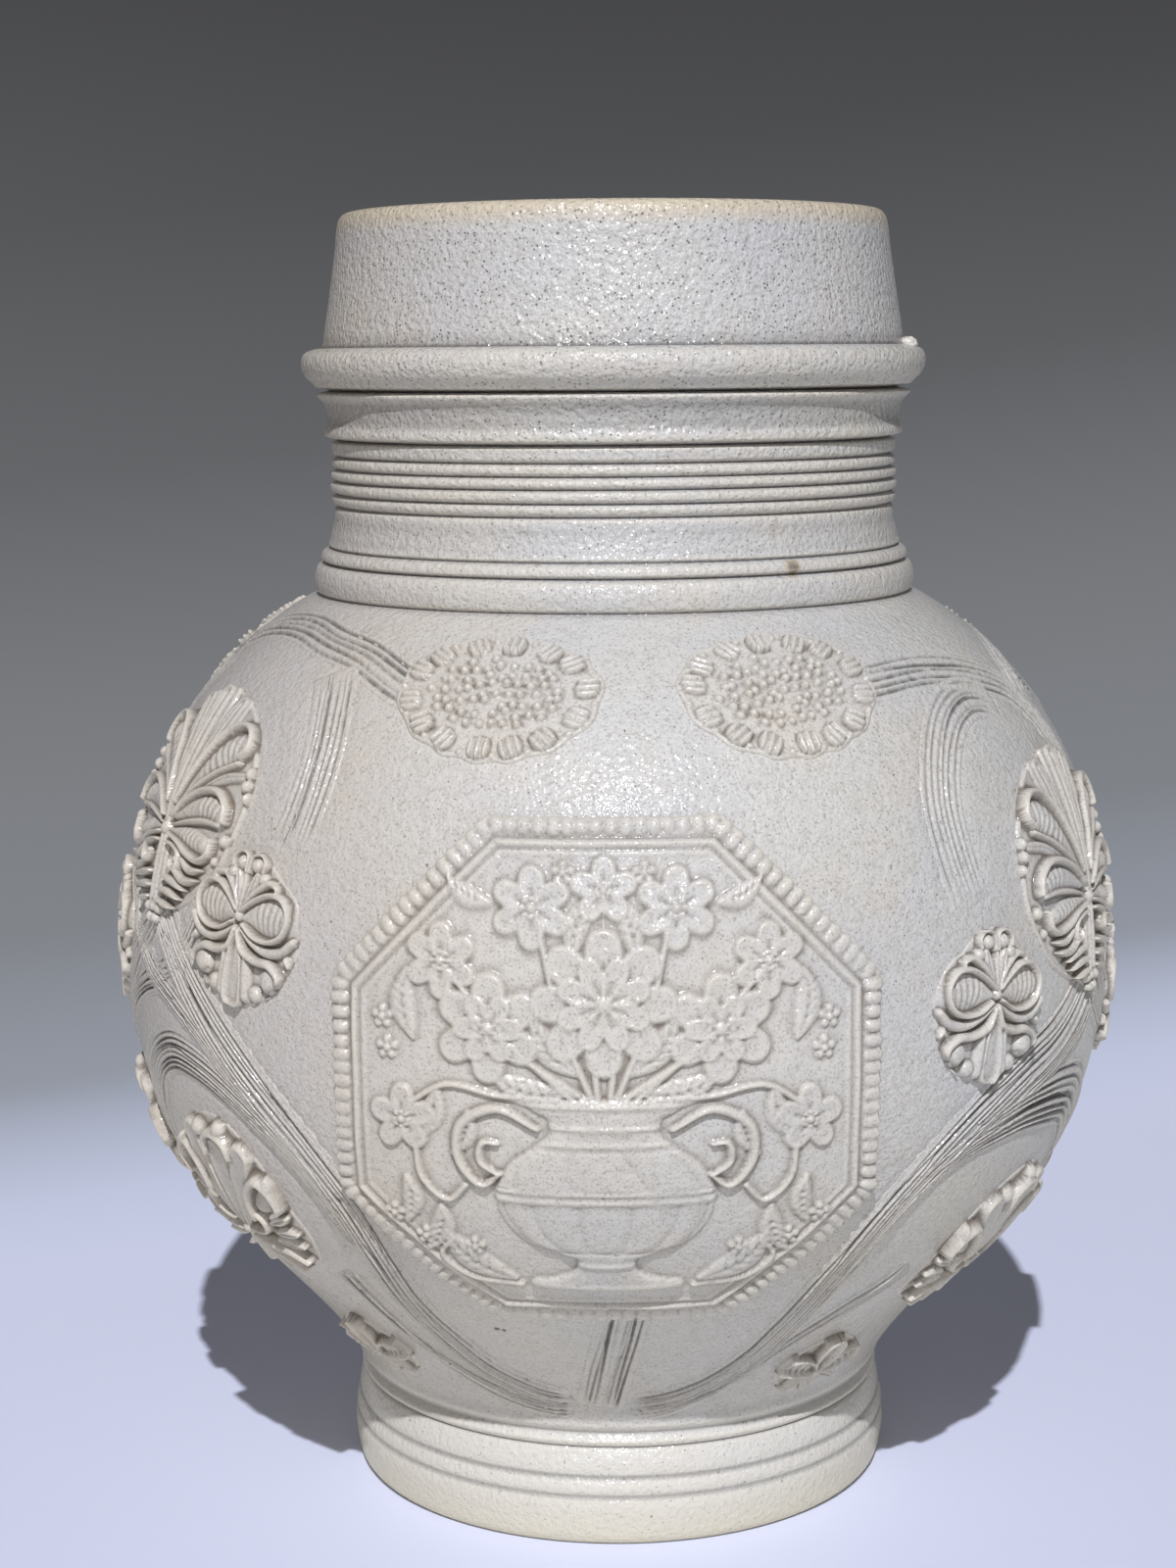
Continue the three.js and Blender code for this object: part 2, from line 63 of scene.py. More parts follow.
lens = bpy.data.cameras.new("photograph_camera")
lens.lens = LENS
lens.sensor_width = FILM_WIDTH
camera = bpy.data.objects.new("photograph_camera", lens)
turned = Matrix.Rotation(math.radians(LOOKS_LEFT), 4, "Z")
tilted = Matrix.Rotation(math.radians(90 - LOOKS_DOWN), 4, "X")
rolled = Matrix.Rotation(math.radians(LEANS), 4, "Z")
camera.matrix_world = Matrix.Translation(CAMERA_PLACE) @ turned @ tilted @ rolled
bpy.context.scene.collection.objects.link(camera)
bpy.context.scene.camera = camera
bpy.context.scene.view_settings.view_transform = "Standard"
print("camera", [round(x, 3) for x in camera.matrix_world.translation], "lens", LENS)

# %% [markdown]
# Every surface on the jug follows a line: the outline of the thrown pot, the route of a comb, the middle of
# a leaf. One helper draws a smooth line through a few points and walks along it in even steps.

# %% Smooth lines
def way_along(line):
    """How far each point of a line lies along it."""
    return np.concatenate([[0], np.cumsum(np.linalg.norm(np.diff(line, axis=0), axis=1))])


def directions(vectors):
    """Vectors brought to length 1, one a row."""
    return vectors / np.linalg.norm(vectors, axis=1)[:, None]


def smooth_through(points, spacing):
    """A smooth line through the points, with a new point about every `spacing`."""
    points = np.array(points, float)
    steps = np.linalg.norm(np.diff(points, axis=0), axis=1)
    at = way_along(points)
    slopes = np.diff(points, axis=0) / steps[:, None]
    before, after = steps[:-1, None], steps[1:, None]
    inner = (slopes[:-1] * after + slopes[1:] * before) / (before + after)
    tangents = np.vstack([slopes[:1], inner, slopes[-1:]])
    walk = np.linspace(0, at[-1], max(3, round(at[-1] / spacing) + 1))
    k = np.clip(np.searchsorted(at, walk, side="right") - 1, 0, len(steps) - 1)
    s = ((walk - at[k]) / steps[k])[:, None]
    span = steps[k][:, None]
    return (
        (1 + 2 * s) * (1 - s) ** 2 * points[k]
        + s * (1 - s) ** 2 * span * tangents[k]
        + s * s * (3 - 2 * s) * points[k + 1]
        + s * s * (s - 1) * span * tangents[k + 1]
    )


def smooth_step(low, high, x):
    """0 below low, 1 above high, and a soft rise between."""
    share = np.clip((x - low) / (high - low), 0, 1)
    return share * share * (3 - 2 * share)


def bell(x):
    """1 where x is 0, falling away softly on both sides."""
    return np.exp(-(x**2))


print("a test line of 3 points becomes", len(smooth_through([(0, 0), (1, 1), (2, 0)], 0.5)))

# %% [markdown]
# The belly is the ground that all the ornament stands on. Its outline is the same pair of curves as in the
# CAD source: one from the foot to the girth, one from the girth to the neck. A place on it is an azimuth
# round the pot and a distance up this outline, the way a potter measures with a strip of paper.

# %% The belly's outline
BODY = "thrown_body"
FOOT_RADIUS, FOOT_TOP = 52.0, 23.6
GIRTH, SHOULDER, NECK_RADIUS = 103.0, 170.0, 53.0
NECK_SEAM = 3.6
BELLY_RADIUS = -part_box(BODY)[0].y / MM
RIM_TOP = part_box(BODY)[1].z / MM


def bezier(ends, count=400):
    """Points on a cubic curve with two ends and two handles."""
    a, b, c, d = (np.array(p, float) for p in ends)
    t = np.linspace(0, 1, count)[:, None]
    return (1 - t) ** 3 * a + 3 * t * (1 - t) ** 2 * b + 3 * t * t * (1 - t) * c + t**3 * d


lower_height, upper_height = GIRTH - FOOT_TOP, SHOULDER - GIRTH
lower = bezier([
    (FOOT_RADIUS - 1, FOOT_TOP),
    (FOOT_RADIUS + 0.29 * (BELLY_RADIUS - FOOT_RADIUS), FOOT_TOP + 0.3 * lower_height),
    (BELLY_RADIUS, GIRTH - 0.56 * lower_height),
    (BELLY_RADIUS, GIRTH),
])
upper = bezier([
    (BELLY_RADIUS, GIRTH),
    (BELLY_RADIUS, GIRTH + 0.3 * upper_height),
    (NECK_RADIUS + 0.85 * (BELLY_RADIUS - NECK_RADIUS), GIRTH + 0.75 * upper_height),
    (NECK_RADIUS + NECK_SEAM, SHOULDER),
])
meridian = np.vstack([lower, upper[1:]])
travelled = way_along(meridian)
ahead = directions(np.gradient(meridian, travelled, axis=0))
BELLY_LENGTH = travelled[-1]
print("girth radius", round(BELLY_RADIUS, 2), "outline from foot to neck", round(BELLY_LENGTH, 1), "mm")

# %% [markdown]
# A hand-thrown pot is never a true circle. A soft wobble of a few tenths of a millimetre is added in one
# place, and the wall, the ornament and the combing all use it, so that they stay together.

# %% Places on the belly
def off_true(azimuth, height):
    """How far the thrown wall stands from a true circle, in mm."""
    slow = 0.16 * np.sin(2 * azimuth + 0.7) + 0.08 * np.sin(3 * azimuth - height / 23)
    return (slow + 0.04 * np.sin(5 * azimuth + height / 9)) * smooth_step(0, 40, height)


def on_belly(distance):
    """Radius and height of the wall at a distance up the belly, and the two parts of its normal."""
    columns = (meridian[:, 0], meridian[:, 1], ahead[:, 1], -ahead[:, 0])
    return [np.interp(distance, travelled, column) for column in columns]


def bent(azimuth, distance, out):
    """Points in mm that stand `out` from the wall of the belly."""
    radius, height, outward, upward = on_belly(distance)
    radius = radius + off_true(azimuth, height) + out * outward
    return np.stack([radius * np.sin(azimuth), -radius * np.cos(azimuth), height + out * upward], -1)


def seat_of(node):
    """Azimuth and distance up the belly of the middle of a CAD sprig, and half its size in mm."""
    corners = np.array([v.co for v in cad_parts[node].data.vertices]) / MM
    azimuth = np.arctan2(corners[:, 0], -corners[:, 1])
    radius = np.hypot(corners[:, 0], corners[:, 1])
    off = np.hypot(radius[:, None] - meridian[:, 0], corners[:, 2:] - meridian[:, 1])
    distance = travelled[off.argmin(axis=1)]
    middle = (azimuth.max() + azimuth.min()) / 2, (distance.max() + distance.min()) / 2
    half = (azimuth.max() - azimuth.min()) / 2 * on_belly(middle[1])[0], np.ptp(distance) / 2
    return middle, half


for node in sorted(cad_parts):
    if node not in (BODY, "strap_handle"):
        (where, up), half = seat_of(node)
        print(node, round(math.degrees(where), 1), "deg,", round(up, 1), "mm up, half", np.round(half, 1))

# %% [markdown]
# Materials are built from nodes. One function adds any kind of node, with its settings and its links, and
# another turns the hex colours that people read into the linear values that the shader wants.

# %% Node helper and colours
def add(tree, kind, inputs=None, **settings):
    """Adds one node. An input is a plain value or the output of another node."""
    node = tree.nodes.new(kind)
    for name, value in settings.items():
        setattr(node, name, value)
    for socket, value in (inputs or {}).items():
        if isinstance(value, bpy.types.NodeSocket):
            tree.links.new(value, node.inputs[socket])
        else:
            node.inputs[socket].default_value = value
    return node


def colour(hex_code):
    """Linear RGBA of an sRGB hex colour."""
    parts = [int(hex_code[k:k + 2], 16) / 255 for k in (1, 3, 5)]
    return (*[p / 12.92 if p <= 0.04045 else ((p + 0.055) / 1.055) ** 2.4 for p in parts], 1.0)


print("mid grey", [round(x, 3) for x in colour("#808080")])

# %% [markdown]
# Salt-glazed stoneware: salt thrown into the kiln turns to vapour and fuses with the clay into a glass skin
# a tenth of a millimetre thick. It draws up into beads about a millimetre apart, the orange peel, so the
# eye sees many small glints and not one mirror. Where a bubble broke, a pinhole is left that gathers smoke.
# The clay below is pale grey, a little blue in patches, buff where the fire ran over edges, and peppered
# with a few iron specks. Grooves and creases are painted darker: this is painted shade.

# %% The salt glaze
PEEL_PITCH, PEEL_HEIGHT = 1.1, 0.5
GRAIN, GRAIN_HEIGHT = 0.45, 0.12
PINHOLE_SPACING, PINHOLE_RADIUS, PINHOLE_DEPTH = 1.0, 0.24, 0.1
SPECK_SPACING, SPECK_RADIUS = 4.6, 0.33
PATCH_SIZE, BLUSH_SIZE, MOTTLE = 42.0, 17.0, 2.4
GLASS_IOR, SKIN, SKIN_ROUGHNESS = 1.5, 0.55, 0.09
UP_TO_THE_NECK, UP_TO_THE_COLLAR, DOWN_TO_THE_FOOT = (160, 200), (196, 216), (90, 40)
TO_THE_FLAME_SIDE = (-10, -45)


def salt_glaze(name, clay, cool, peel=1.0, pinholes=0.5, spots=(), crease_shade_tone="#4f4a44"):
    """Salt-glazed stoneware. The attribute `edge` says where the surface stands out; a second attribute says
    where it sinks, and there painted shade darkens the glaze.
    """
    material = bpy.data.materials.new(name)
    material.use_nodes = True
    tree = material.node_tree
    tree.nodes.clear()
    place = add(tree, "ShaderNodeTexCoord").outputs["Object"]
    in_mm = add(tree, "ShaderNodeMapping", {"Vector": place, "Scale": (1 / MM,) * 3}).outputs["Vector"]

    def noise(size, detail):
        sockets = {"Vector": in_mm, "Scale": 1 / size, "Detail": detail}
        return add(tree, "ShaderNodeTexNoise", sockets).outputs["Fac"]

    def between(value, low, high, at_low, at_high):
        sockets = {"Value": value, "From Min": low, "From Max": high, "To Min": at_low, "To Max": at_high}
        return add(tree, "ShaderNodeMapRange", sockets).outputs["Result"]

    def tinted(below, hex_code, share):
        """Lays a colour over what is below, by a share from 0 to 1."""
        sockets = {"Factor": share, 6: below, 7: colour(hex_code)}
        return add(tree, "ShaderNodeMix", sockets, data_type="RGBA").outputs[2]

    def product(value, by):
        return add(tree, "ShaderNodeMath", {0: value, 1: by}, operation="MULTIPLY").outputs["Value"]

    patches = noise(PATCH_SIZE, 3.0)
    grain = noise(GRAIN, 2.0)
    tone = tinted(colour(clay), cool, between(patches, 0.4, 0.62, 0.0, 1.0))
    tone = tinted(tone, "#d2c6b2", between(noise(BLUSH_SIZE, 2.0), 0.5, 0.72, 0.0, 0.25))
    tone = tinted(tone, "#a59e92", between(noise(MOTTLE, 2.0), 0.34, 0.5, 0.16, 0.0))
    tone = tinted(tone, "#8d877e", between(grain, 0.3, 0.48, 0.6, 0.0))
    split = add(tree, "ShaderNodeSeparateXYZ", {"Vector": in_mm})
    tone = tinted(tone, "#c9b499", between(split.outputs["X"], *TO_THE_FLAME_SIDE, 0.0, 0.25))
    height = split.outputs["Z"]
    over_foot = between(height, FOOT_TOP - 2, FOOT_TOP + 1, 0.0, 1.0)
    # Tinted warmer and a little darker from below the girth down to the foot.
    warmer_toward_foot = product(between(height, *DOWN_TO_THE_FOOT, 0.0, 0.12), over_foot)
    tone = tinted(tone, "#c4b08c", warmer_toward_foot)
    tone = tinted(tone, "#cbb68e", between(height, RIM_TOP - 4.5, RIM_TOP - 1, 0.0, 0.65))
    # Painted light: below its top the foot is painted lighter, as it stands in full light under the shaded
    # lower belly.
    tone = tinted(tone, "#e2ded4", between(height, FOOT_TOP + 1, FOOT_TOP - 1, 0.0, 0.5))
    tone = tinted(tone, "#dccfa8", between(height, 10, 2, 0.0, 0.3))

    holes = add(tree, "ShaderNodeTexVoronoi", {"Vector": in_mm, "Scale": 1 / PINHOLE_SPACING})
    radius = PINHOLE_RADIUS / PINHOLE_SPACING
    smaller = product(holes.outputs["Distance"], between(height, *UP_TO_THE_NECK, 1.7, 1.0))
    hole = between(smaller, 0.5 * radius, radius, 1.0, 0.0)
    closed = between(height, *UP_TO_THE_COLLAR, 1 - pinholes, 0.12)
    open_ones = add(tree, "ShaderNodeMath", {0: holes.outputs["Color"], 1: closed}, operation="GREATER_THAN")
    hole = product(hole, open_ones.outputs["Value"])
    tone = tinted(tone, "#5c5753", product(hole, 0.8))

    specks = add(tree, "ShaderNodeTexVoronoi", {"Vector": in_mm, "Scale": 1 / SPECK_SPACING})
    radius = SPECK_RADIUS / SPECK_SPACING
    speck = between(specks.outputs["Distance"], 0.5 * radius, radius, 0.75, 0.0)
    rusty = add(tree, "ShaderNodeMath", {0: specks.outputs["Color"], 1: 0.6}, operation="GREATER_THAN")
    tone = tinted(tone, "#77583a", product(speck, rusty.outputs["Value"]))

    for azimuth, out, up, across, hex_code in spots:
        turn = math.radians(azimuth)
        middle = (out * math.sin(turn), -out * math.cos(turn), up)
        away = add(tree, "ShaderNodeVectorMath", {0: in_mm, 1: middle}, operation="DISTANCE").outputs["Value"]
        tone = tinted(tone, hex_code, between(away, 0.3 * across, 0.6 * across, 1.0, 0.0))

    edge = add(tree, "ShaderNodeAttribute", attribute_name="edge").outputs["Fac"]
    tone = tinted(tone, "#dbd2c2", product(edge, 0.5))
    # Painted shade: where the surface sinks into a groove or crease, the colour is darkened towards the shade
    # tone.
    crease_shade = add(tree, "ShaderNodeAttribute", attribute_name="crease_shade").outputs["Fac"]
    tone = tinted(tone, crease_shade_tone, product(crease_shade, 0.85))

    def bump(relief, distance, below=None):
        sockets = {"Height": relief, "Strength": 1.0, "Distance": distance * MM}
        if below:
            sockets["Normal"] = below
        return add(tree, "ShaderNodeBump", sockets).outputs["Normal"]

    beaded = product(noise(PEEL_PITCH, 1.0), between(height, *UP_TO_THE_NECK, 0.55, 1.0))
    leather = bump(beaded, PEEL_HEIGHT * peel)
    fine = bump(grain, GRAIN_HEIGHT * peel, leather)
    pitted = bump(product(hole, -1.0), PINHOLE_DEPTH * peel, fine)
    shader = add(tree, "ShaderNodeBsdfPrincipled", {
        "Base Color": tone, "Roughness": between(patches, 0.3, 0.7, 0.46, 0.6), "IOR": GLASS_IOR,
        "Normal": pitted, "Coat Normal": leather, "Coat Weight": SKIN, "Coat Roughness": SKIN_ROUGHNESS})
    add(tree, "ShaderNodeOutputMaterial", {"Surface": shader.outputs["BSDF"]})
    print(name, "has", len(tree.nodes), "nodes")
    return material


IRON_BLOOMS = [(34.3, 55.5, 177.2, 3.6, "#a98f66"), (34.3, 55.5, 177.2, 2.5, "#33261a"),
               (-17.6, 69.8, 46.9, 1.2, "#2e2c2b"), (-16.6, 69.6, 46.7, 1.0, "#2e2c2b")]
LEAF_BLOOMS = [(-49.9, 86.8, 137.6, 2.2, "#a5815a")]

thrown_glaze = salt_glaze("salt_glazed_stoneware_thrown", "#cfccc6", "#c9c8c8", spots=IRON_BLOOMS)
pulled_glaze = salt_glaze("salt_glazed_stoneware_pulled", "#cfccc6", "#c9c8c8", peel=0.9)
pressed_glaze = salt_glaze("salt_glazed_stoneware_pressed", "#d2cdc5", "#cac8c5", peel=0.6, pinholes=0.3,
                           spots=LEAF_BLOOMS, crease_shade_tone="#6b5f51")

# %% [markdown]
# Each piece is a closed mesh of its own. The helper takes points in millimetres, faces, a place on a flat
# sheet for every corner of every face, and the two attributes that the glaze reads.

# %% Turning points into a piece
def grid_faces(rows, columns, closed=False):
    """Faces with four corners over points numbered row by row. If closed, the last column meets the first."""
    across = np.arange(columns if closed else columns - 1)
    after = (across + 1) % columns
    start = np.arange(rows - 1)[:, None] * columns
    return np.stack([start + across, start + after, start + columns + after, start + columns + across], -1)


def grid_sheet(u, v):
    """The places on the flat sheet of the four corners of each cell, for lines of a grid at u and v."""
    corners = [(u[:-1], v[:-1, None]), (u[1:], v[:-1, None]), (u[1:], v[1:, None]), (u[:-1], v[1:, None])]
    return np.stack([np.stack(np.broadcast_arrays(a, b), -1) for a, b in corners], -2)


def tube_faces(rows, columns):
    """A tube whose two ends are closed by triangles round a hub. The hubs are the last two points."""
    around = np.arange(columns)
    after, last, hub = (around + 1) % columns, (rows - 1) * columns, rows * columns
    fans = [(hub, b, a) for a, b in zip(around, after)]
    fans += [(hub + 1, last + a, last + b) for a, b in zip(around, after)]
    return [*grid_faces(rows, columns, closed=True).reshape(-1, 4), *fans]


def tube_sheet(u, v, hubs=(0.0, 1.0), gap=0.0):
    """The places on the flat sheet for the corners of a tube's cells, and then of its two fans."""
    fans = [[(a + b) / 2, hubs[0], b, v[0] - gap, a, v[0] - gap] for a, b in zip(u[:-1], u[1:])]
    fans += [[(a + b) / 2, hubs[1], a, v[-1] + gap, b, v[-1] + gap] for a, b in zip(u[:-1], u[1:])]
    return [grid_sheet(u, v), *fans]


def piece(name, points, faces, sheet, edge, crease_shade, material, stands_for=()):
    """Makes a piece that rides on the jug. `sheet` holds a (u, v) for each corner of each face."""
    mesh = bpy.data.meshes.new(name)
    mesh.from_pydata((np.asarray(points) * MM).tolist(), [], [list(map(int, face)) for face in faces])
    layer = mesh.uv_layers.new(name="OFBake")
    layer.uv.foreach_set("vector", np.concatenate([np.ravel(s) for s in sheet]).astype(np.float32))
    for word, values in (("edge", edge), ("crease_shade", crease_shade)):
        mesh.attributes.new(word, "FLOAT", "POINT").data.foreach_set("value", np.asarray(values, np.float32))
    mesh.materials.append(material)
    mesh.shade_smooth()
    made = bpy.data.objects.new(name, mesh)
    bpy.context.scene.collection.objects.link(made)
    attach(made, "root")
    if stands_for:
        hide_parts(*stands_for)
    print(name, len(points), "points,", len(faces), "faces")
    return made


# %% [markdown]
# The combed stems come first in thought, because the wall has to make room for them: a comb digs its lines
# into the leather-hard clay. Each stem is a route over the belly, given by a few places: azimuth in degrees
# and distance up the belly in millimetres. The great palmette is the centre of each half of the pot, so the
# stems on the hidden side are the visible ones turned over about it.

# %% The routes of the comb
LIGHT_COMB = dict(lines=5, pitch=1.45, depth=0.5, ragged=0.2, stands=0.12, lift=6)
FINE_COMB = dict(lines=6, pitch=1.25, depth=0.4, ragged=0.15, stands=0.05, lift=8)
BROAD_COMB = dict(lines=8, pitch=0.9, depth=0.8, ragged=0.12, stands=0.35)
SIDE_COMB = dict(lines=5, pitch=0.95, depth=0.7, ragged=0.12, stands=0.28, spread=(1.1, 1.0, 0.8, 0.6))
ROOT_COMB = dict(lines=4, pitch=1.15, depth=0.85, ragged=0.1, stands=0.35, spread=(1.1, 1.0, 0.95, 0.9))
STEM_COMB = dict(lines=4, pitch=0.9, depth=0.45, ragged=0.06, stands=0.25)
TURNED_OVER_LEFT, TURNED_OVER_RIGHT = -61.5, 67.0

drop_left = [(-43.6, 157.5), (-39.9, 149.1), (-37.9, 141.7), (-37.3, 134.2), (-37.6, 128), (-38.6, 121)]
drop_right = [(61, 145.5), (53.3, 147.7), (46.5, 144.1), (41.8, 136.8), (39.7, 129.1), (39.6, 120.5),
              (41.2, 110)]
sweep_left = [(-63, 111), (-60.2, 106.1), (-54.1, 97.2), (-48.6, 89.7), (-41.2, 79.2), (-35.8, 70),
              (-31.6, 59), (-30.2, 48), (-29.6, 37), (-28.1, 27.3), (-24.2, 15.8), (-16.4, 8.6), (-9, 5.5)]
sweep_right = [(66.5, 97), (62.7, 90.5), (55.7, 84), (50.6, 81.2), (45.8, 77.7), (41.8, 73.8), (38.3, 69.4),
               (32.7, 58.9), (28.5, 44.7), (25.6, 29.2), (23.3, 19.8), (17.9, 11.2), (12.2, 7.4), (6, 5.4),
               (1.8, 4.6)]
side_left = [(-73, 117), (-71.2, 109.1), (-68.1, 101), (-63.6, 96), (-57, 92), (-51.5, 87.6), (-46.5, 82),
             (-42, 76)]
side_right = [(71.5, 104), (70, 97), (67, 89.5), (63, 84.5), (57, 80.2), (51, 76.8), (46.5, 73.4), (42, 69)]
arch_left = [(-74.5, 46), (-72.5, 57), (-70, 67), (-66.5, 74.5), (-62, 80), (-57.8, 82.3), (-53.5, 82.1),
             (-48.4, 79.9), (-44.2, 76.6), (-40.2, 72), (-37, 66.6), (-34.4, 59.4), (-32.4, 49)]
arch_right = [(76, 42), (74.5, 50), (72, 58.4), (69, 65), (65.5, 69.8), (60, 72), (55, 72.6), (51, 72.5),
              (47.2, 71.5), (42, 69.3), (37.6, 65.6), (34.3, 60), (31.5, 52.6), (29.7, 44)]
root_left = [(-38.8, 42), (-37.3, 35.2), (-36.3, 28.8), (-33.6, 19.8), (-28.8, 12.2), (-22.3, 6.9),
             (-14.4, 4.2), (-8, 3.4)]
root_right = [(42.5, 41), (39, 35.6), (35.8, 32), (31.7, 26.1), (28.3, 21.3), (23.6, 14.4), (17.3, 9),
              (9.5, 4.6), (3, 2.8)]


def turned_over(route, azimuth):
    """The same route on the other side of an upright line at an azimuth."""
    return [(2 * azimuth - a, up) for a, up in route]


COMBED = {
    "combed_stem_high_left": dict(LIGHT_COMB, route=[
        (-25, 152), (-29, 154), (-39.6, 160.2), (-49.5, 163), (-60, 165.5), (-74, 164), (-86, 158),
        (-97, 154)]),
    "combed_stem_high_right": dict(LIGHT_COMB, route=[
        (32, 153), (36, 153.5), (50, 154.5), (60, 152), (67.5, 147.5), (73.8, 134), (76, 126)]),
    "combed_stem_back_right": dict(LIGHT_COMB, route=[
        (104, 153), (96, 156.5), (86, 156), (77, 151), (71, 143)]),
    "combed_drop_left": dict(FINE_COMB, route=drop_left),
    "combed_drop_right": dict(FINE_COMB, route=drop_right),
    "combed_drop_back_left": dict(FINE_COMB, route=turned_over(drop_left, TURNED_OVER_LEFT)),
    "combed_drop_back_right": dict(FINE_COMB, route=turned_over(drop_right, TURNED_OVER_RIGHT)),
    "combed_arch_left": dict(
        BROAD_COMB, spread=(1.1, 1.2, 1.15, 1.0, 0.85, 0.7, 0.5, 0.4), route=arch_left),
    "combed_arch_right": dict(
        BROAD_COMB, spread=(1.2, 1.5, 1.65, 1.5, 1.1, 0.65, 0.5, 0.4), route=arch_right),
    "combed_side_left": dict(SIDE_COMB, route=side_left),
    "combed_side_right": dict(SIDE_COMB, route=side_right),
    "combed_side_back_left": dict(SIDE_COMB, route=turned_over(side_left, TURNED_OVER_LEFT)),
    "combed_side_back_right": dict(SIDE_COMB, route=turned_over(side_right, TURNED_OVER_RIGHT)),
    "combed_sweep_left": dict(BROAD_COMB, spread=(1.15, 1.15, 1.05, 0.95, 0.9, 0.8), route=sweep_left),
    "combed_sweep_right": dict(BROAD_COMB, spread=(1.2, 1.15, 1.05, 1.0, 0.9, 0.8), route=sweep_right),
    "combed_sweep_back_left": dict(BROAD_COMB, route=turned_over(sweep_left, TURNED_OVER_LEFT)),
    "combed_sweep_back_right": dict(BROAD_COMB, route=turned_over(sweep_right, TURNED_OVER_RIGHT)),
    "combed_root_left": dict(ROOT_COMB, route=root_left),
    "combed_root_right": dict(ROOT_COMB, route=root_right),
    "combed_root_back_left": dict(ROOT_COMB, route=turned_over(root_left, TURNED_OVER_LEFT - 6)),
    "combed_root_back_right": dict(ROOT_COMB, route=turned_over(root_right, TURNED_OVER_RIGHT + 8)),
    "combed_stem_low_left": dict(STEM_COMB, route=[(-0.6, 38), (-2.2, 23.6), (-3.9, 12.8), (-5.6, 3.6)]),
    "combed_stem_low_right": dict(STEM_COMB, route=[(2.5, 38), (1.1, 23.6), (-0.4, 12.9), (-2.0, 3)]),
}
SHORT_LIFT = 3.6
COMB_BORDER = 1.9
TRENCH, TRENCH_STEP, TRENCH_EDGE = 0.95, 2.5, (-0.8, 1.1)


def fanned(share, spread):
    """How far the lines of a comb fan out, at a share of the way along its route."""
    return np.interp(share, np.linspace(0, 1, len(spread)), spread)


def walk_belly(route, spacing):
    """Azimuth and distance of even steps along a route over the belly, and its direction there."""
    flat = np.array([(math.radians(a) * BELLY_RADIUS, up) for a, up in route])
    line = smooth_through(flat, 0.5)
    azimuth, distance = line[:, 0] / BELLY_RADIUS, line[:, 1]
    local = on_belly((distance[1:] + distance[:-1]) / 2)[0]
    step = np.hypot(np.diff(azimuth) * local, np.diff(distance))
    at = np.concatenate([[0], np.cumsum(step)])
    even = np.linspace(0, at[-1], round(at[-1] / spacing) + 1)
    azimuth, distance = np.interp(even, at, azimuth), np.interp(even, at, distance)
    along = np.stack([np.gradient(azimuth, even) * on_belly(distance)[0], np.gradient(distance, even)], -1)
    return even, azimuth, distance, directions(along)


combed_length = sum(walk_belly(stem["route"], 1)[0][-1] for stem in COMBED.values())
print(len(COMBED), "combed stems,", round(combed_length), "mm long together")

# %% [markdown]
# The pot is thrown in one piece and turned on the wheel with a profile tool. Its mesh is a revolve, but the
# rows lie close where the tool cut a groove and wide apart on the plain belly, so a few hundred rows hold
# the fine ribs of the neck as well as the round body. Under each combed stem the wall dips a little, and
# the stem's own fine mesh fills the dip.

# %% The outline from the underside to the floor inside
underside = [(0, 0.4), (20, 0.4), (42, 0.4), (45.5, 0.1), (47, 0)]
foot = [(47, 0), (49.9, 0.2), (51.0, 1.3), (51.6, 3.4), (52.0, 8.1), (51.5, 12), (50.8, 15.6), (50.3, 17.9),
        (50.4, 19.6), (50.0, 21.2), (50.8, 22.8), (51.0, FOOT_TOP)]
neck = [(56.5, 170.2), (56.5, 171), (56.7, 172.9), (56.2, 174.9), (55.5, 176.2), (55.3, 177.2), (54.7, 178.4),
        (53.8, 179.6), (53.3, 181.4), (52.7, 184.2), (52.8, 186.2), (53.2, 188), (53.1, 195), (53.2, 197.9),
        (54.2, 199.2), (54.3, 200.2), (53.8, 201.6), (53.8, 203), (54.4, 205.2), (55.7, 206.8), (55.9, 207.7),
        (56.2, 208.6), (57.8, 210.3), (58.5, 212.7), (58.0, 214.3), (56.5, 215.1), (54.8, 215.4)]
rim = [(54.8, 215.4), (54.4, 216.1), (54.1, 218), (53.0, 225), (51.7, 233.9), (51.3, 237.3), (50.9, 238.8),
       (50.1, 239.7), (48.9, RIM_TOP), (47.6, 239.7), (46.8, 238.7), (46.3, 237.1)]
bore = [(46.3, 237.1), (46.4, 230), (47.2, 214), (47.4, 196), (47.3, 180), (48.2, 168.5), (53.5, 162.5)]
WALL, FLOOR, OUTSIDE = 5.5, 12.0, 48
FINGER_RING, FINGER_PITCH = 0.45, 8.5
SHOWN_ROW, HIDDEN_ROW, BEND_A_ROW = 1.35, 5.0, 0.62
ROLLS = [(7.4, 0.12, 1.3), (11.4, 0.25, 1.2), (16.0, 0.3, 1.7), (19.8, 0.3, 0.6), (23.0, 0.35, 1.0)]
GROOVES = [(9.7, 0.3, 0.6), (13.2, 0.32, 0.6), (18.5, 0.5, 0.32), (21.2, 0.3, 0.7),
           (170.0, 1.0, 0.45), (175.9, 1.2, 0.4), (178.6, 1.0, 0.4), (186.3, 0.8, 0.4), (188.6, 1.0, 0.45),
           (191.0, 1.0, 0.45), (193.2, 1.0, 0.45), (195.5, 1.0, 0.45), (198.6, 1.9, 0.38), (207.7, 2.6, 0.38)]


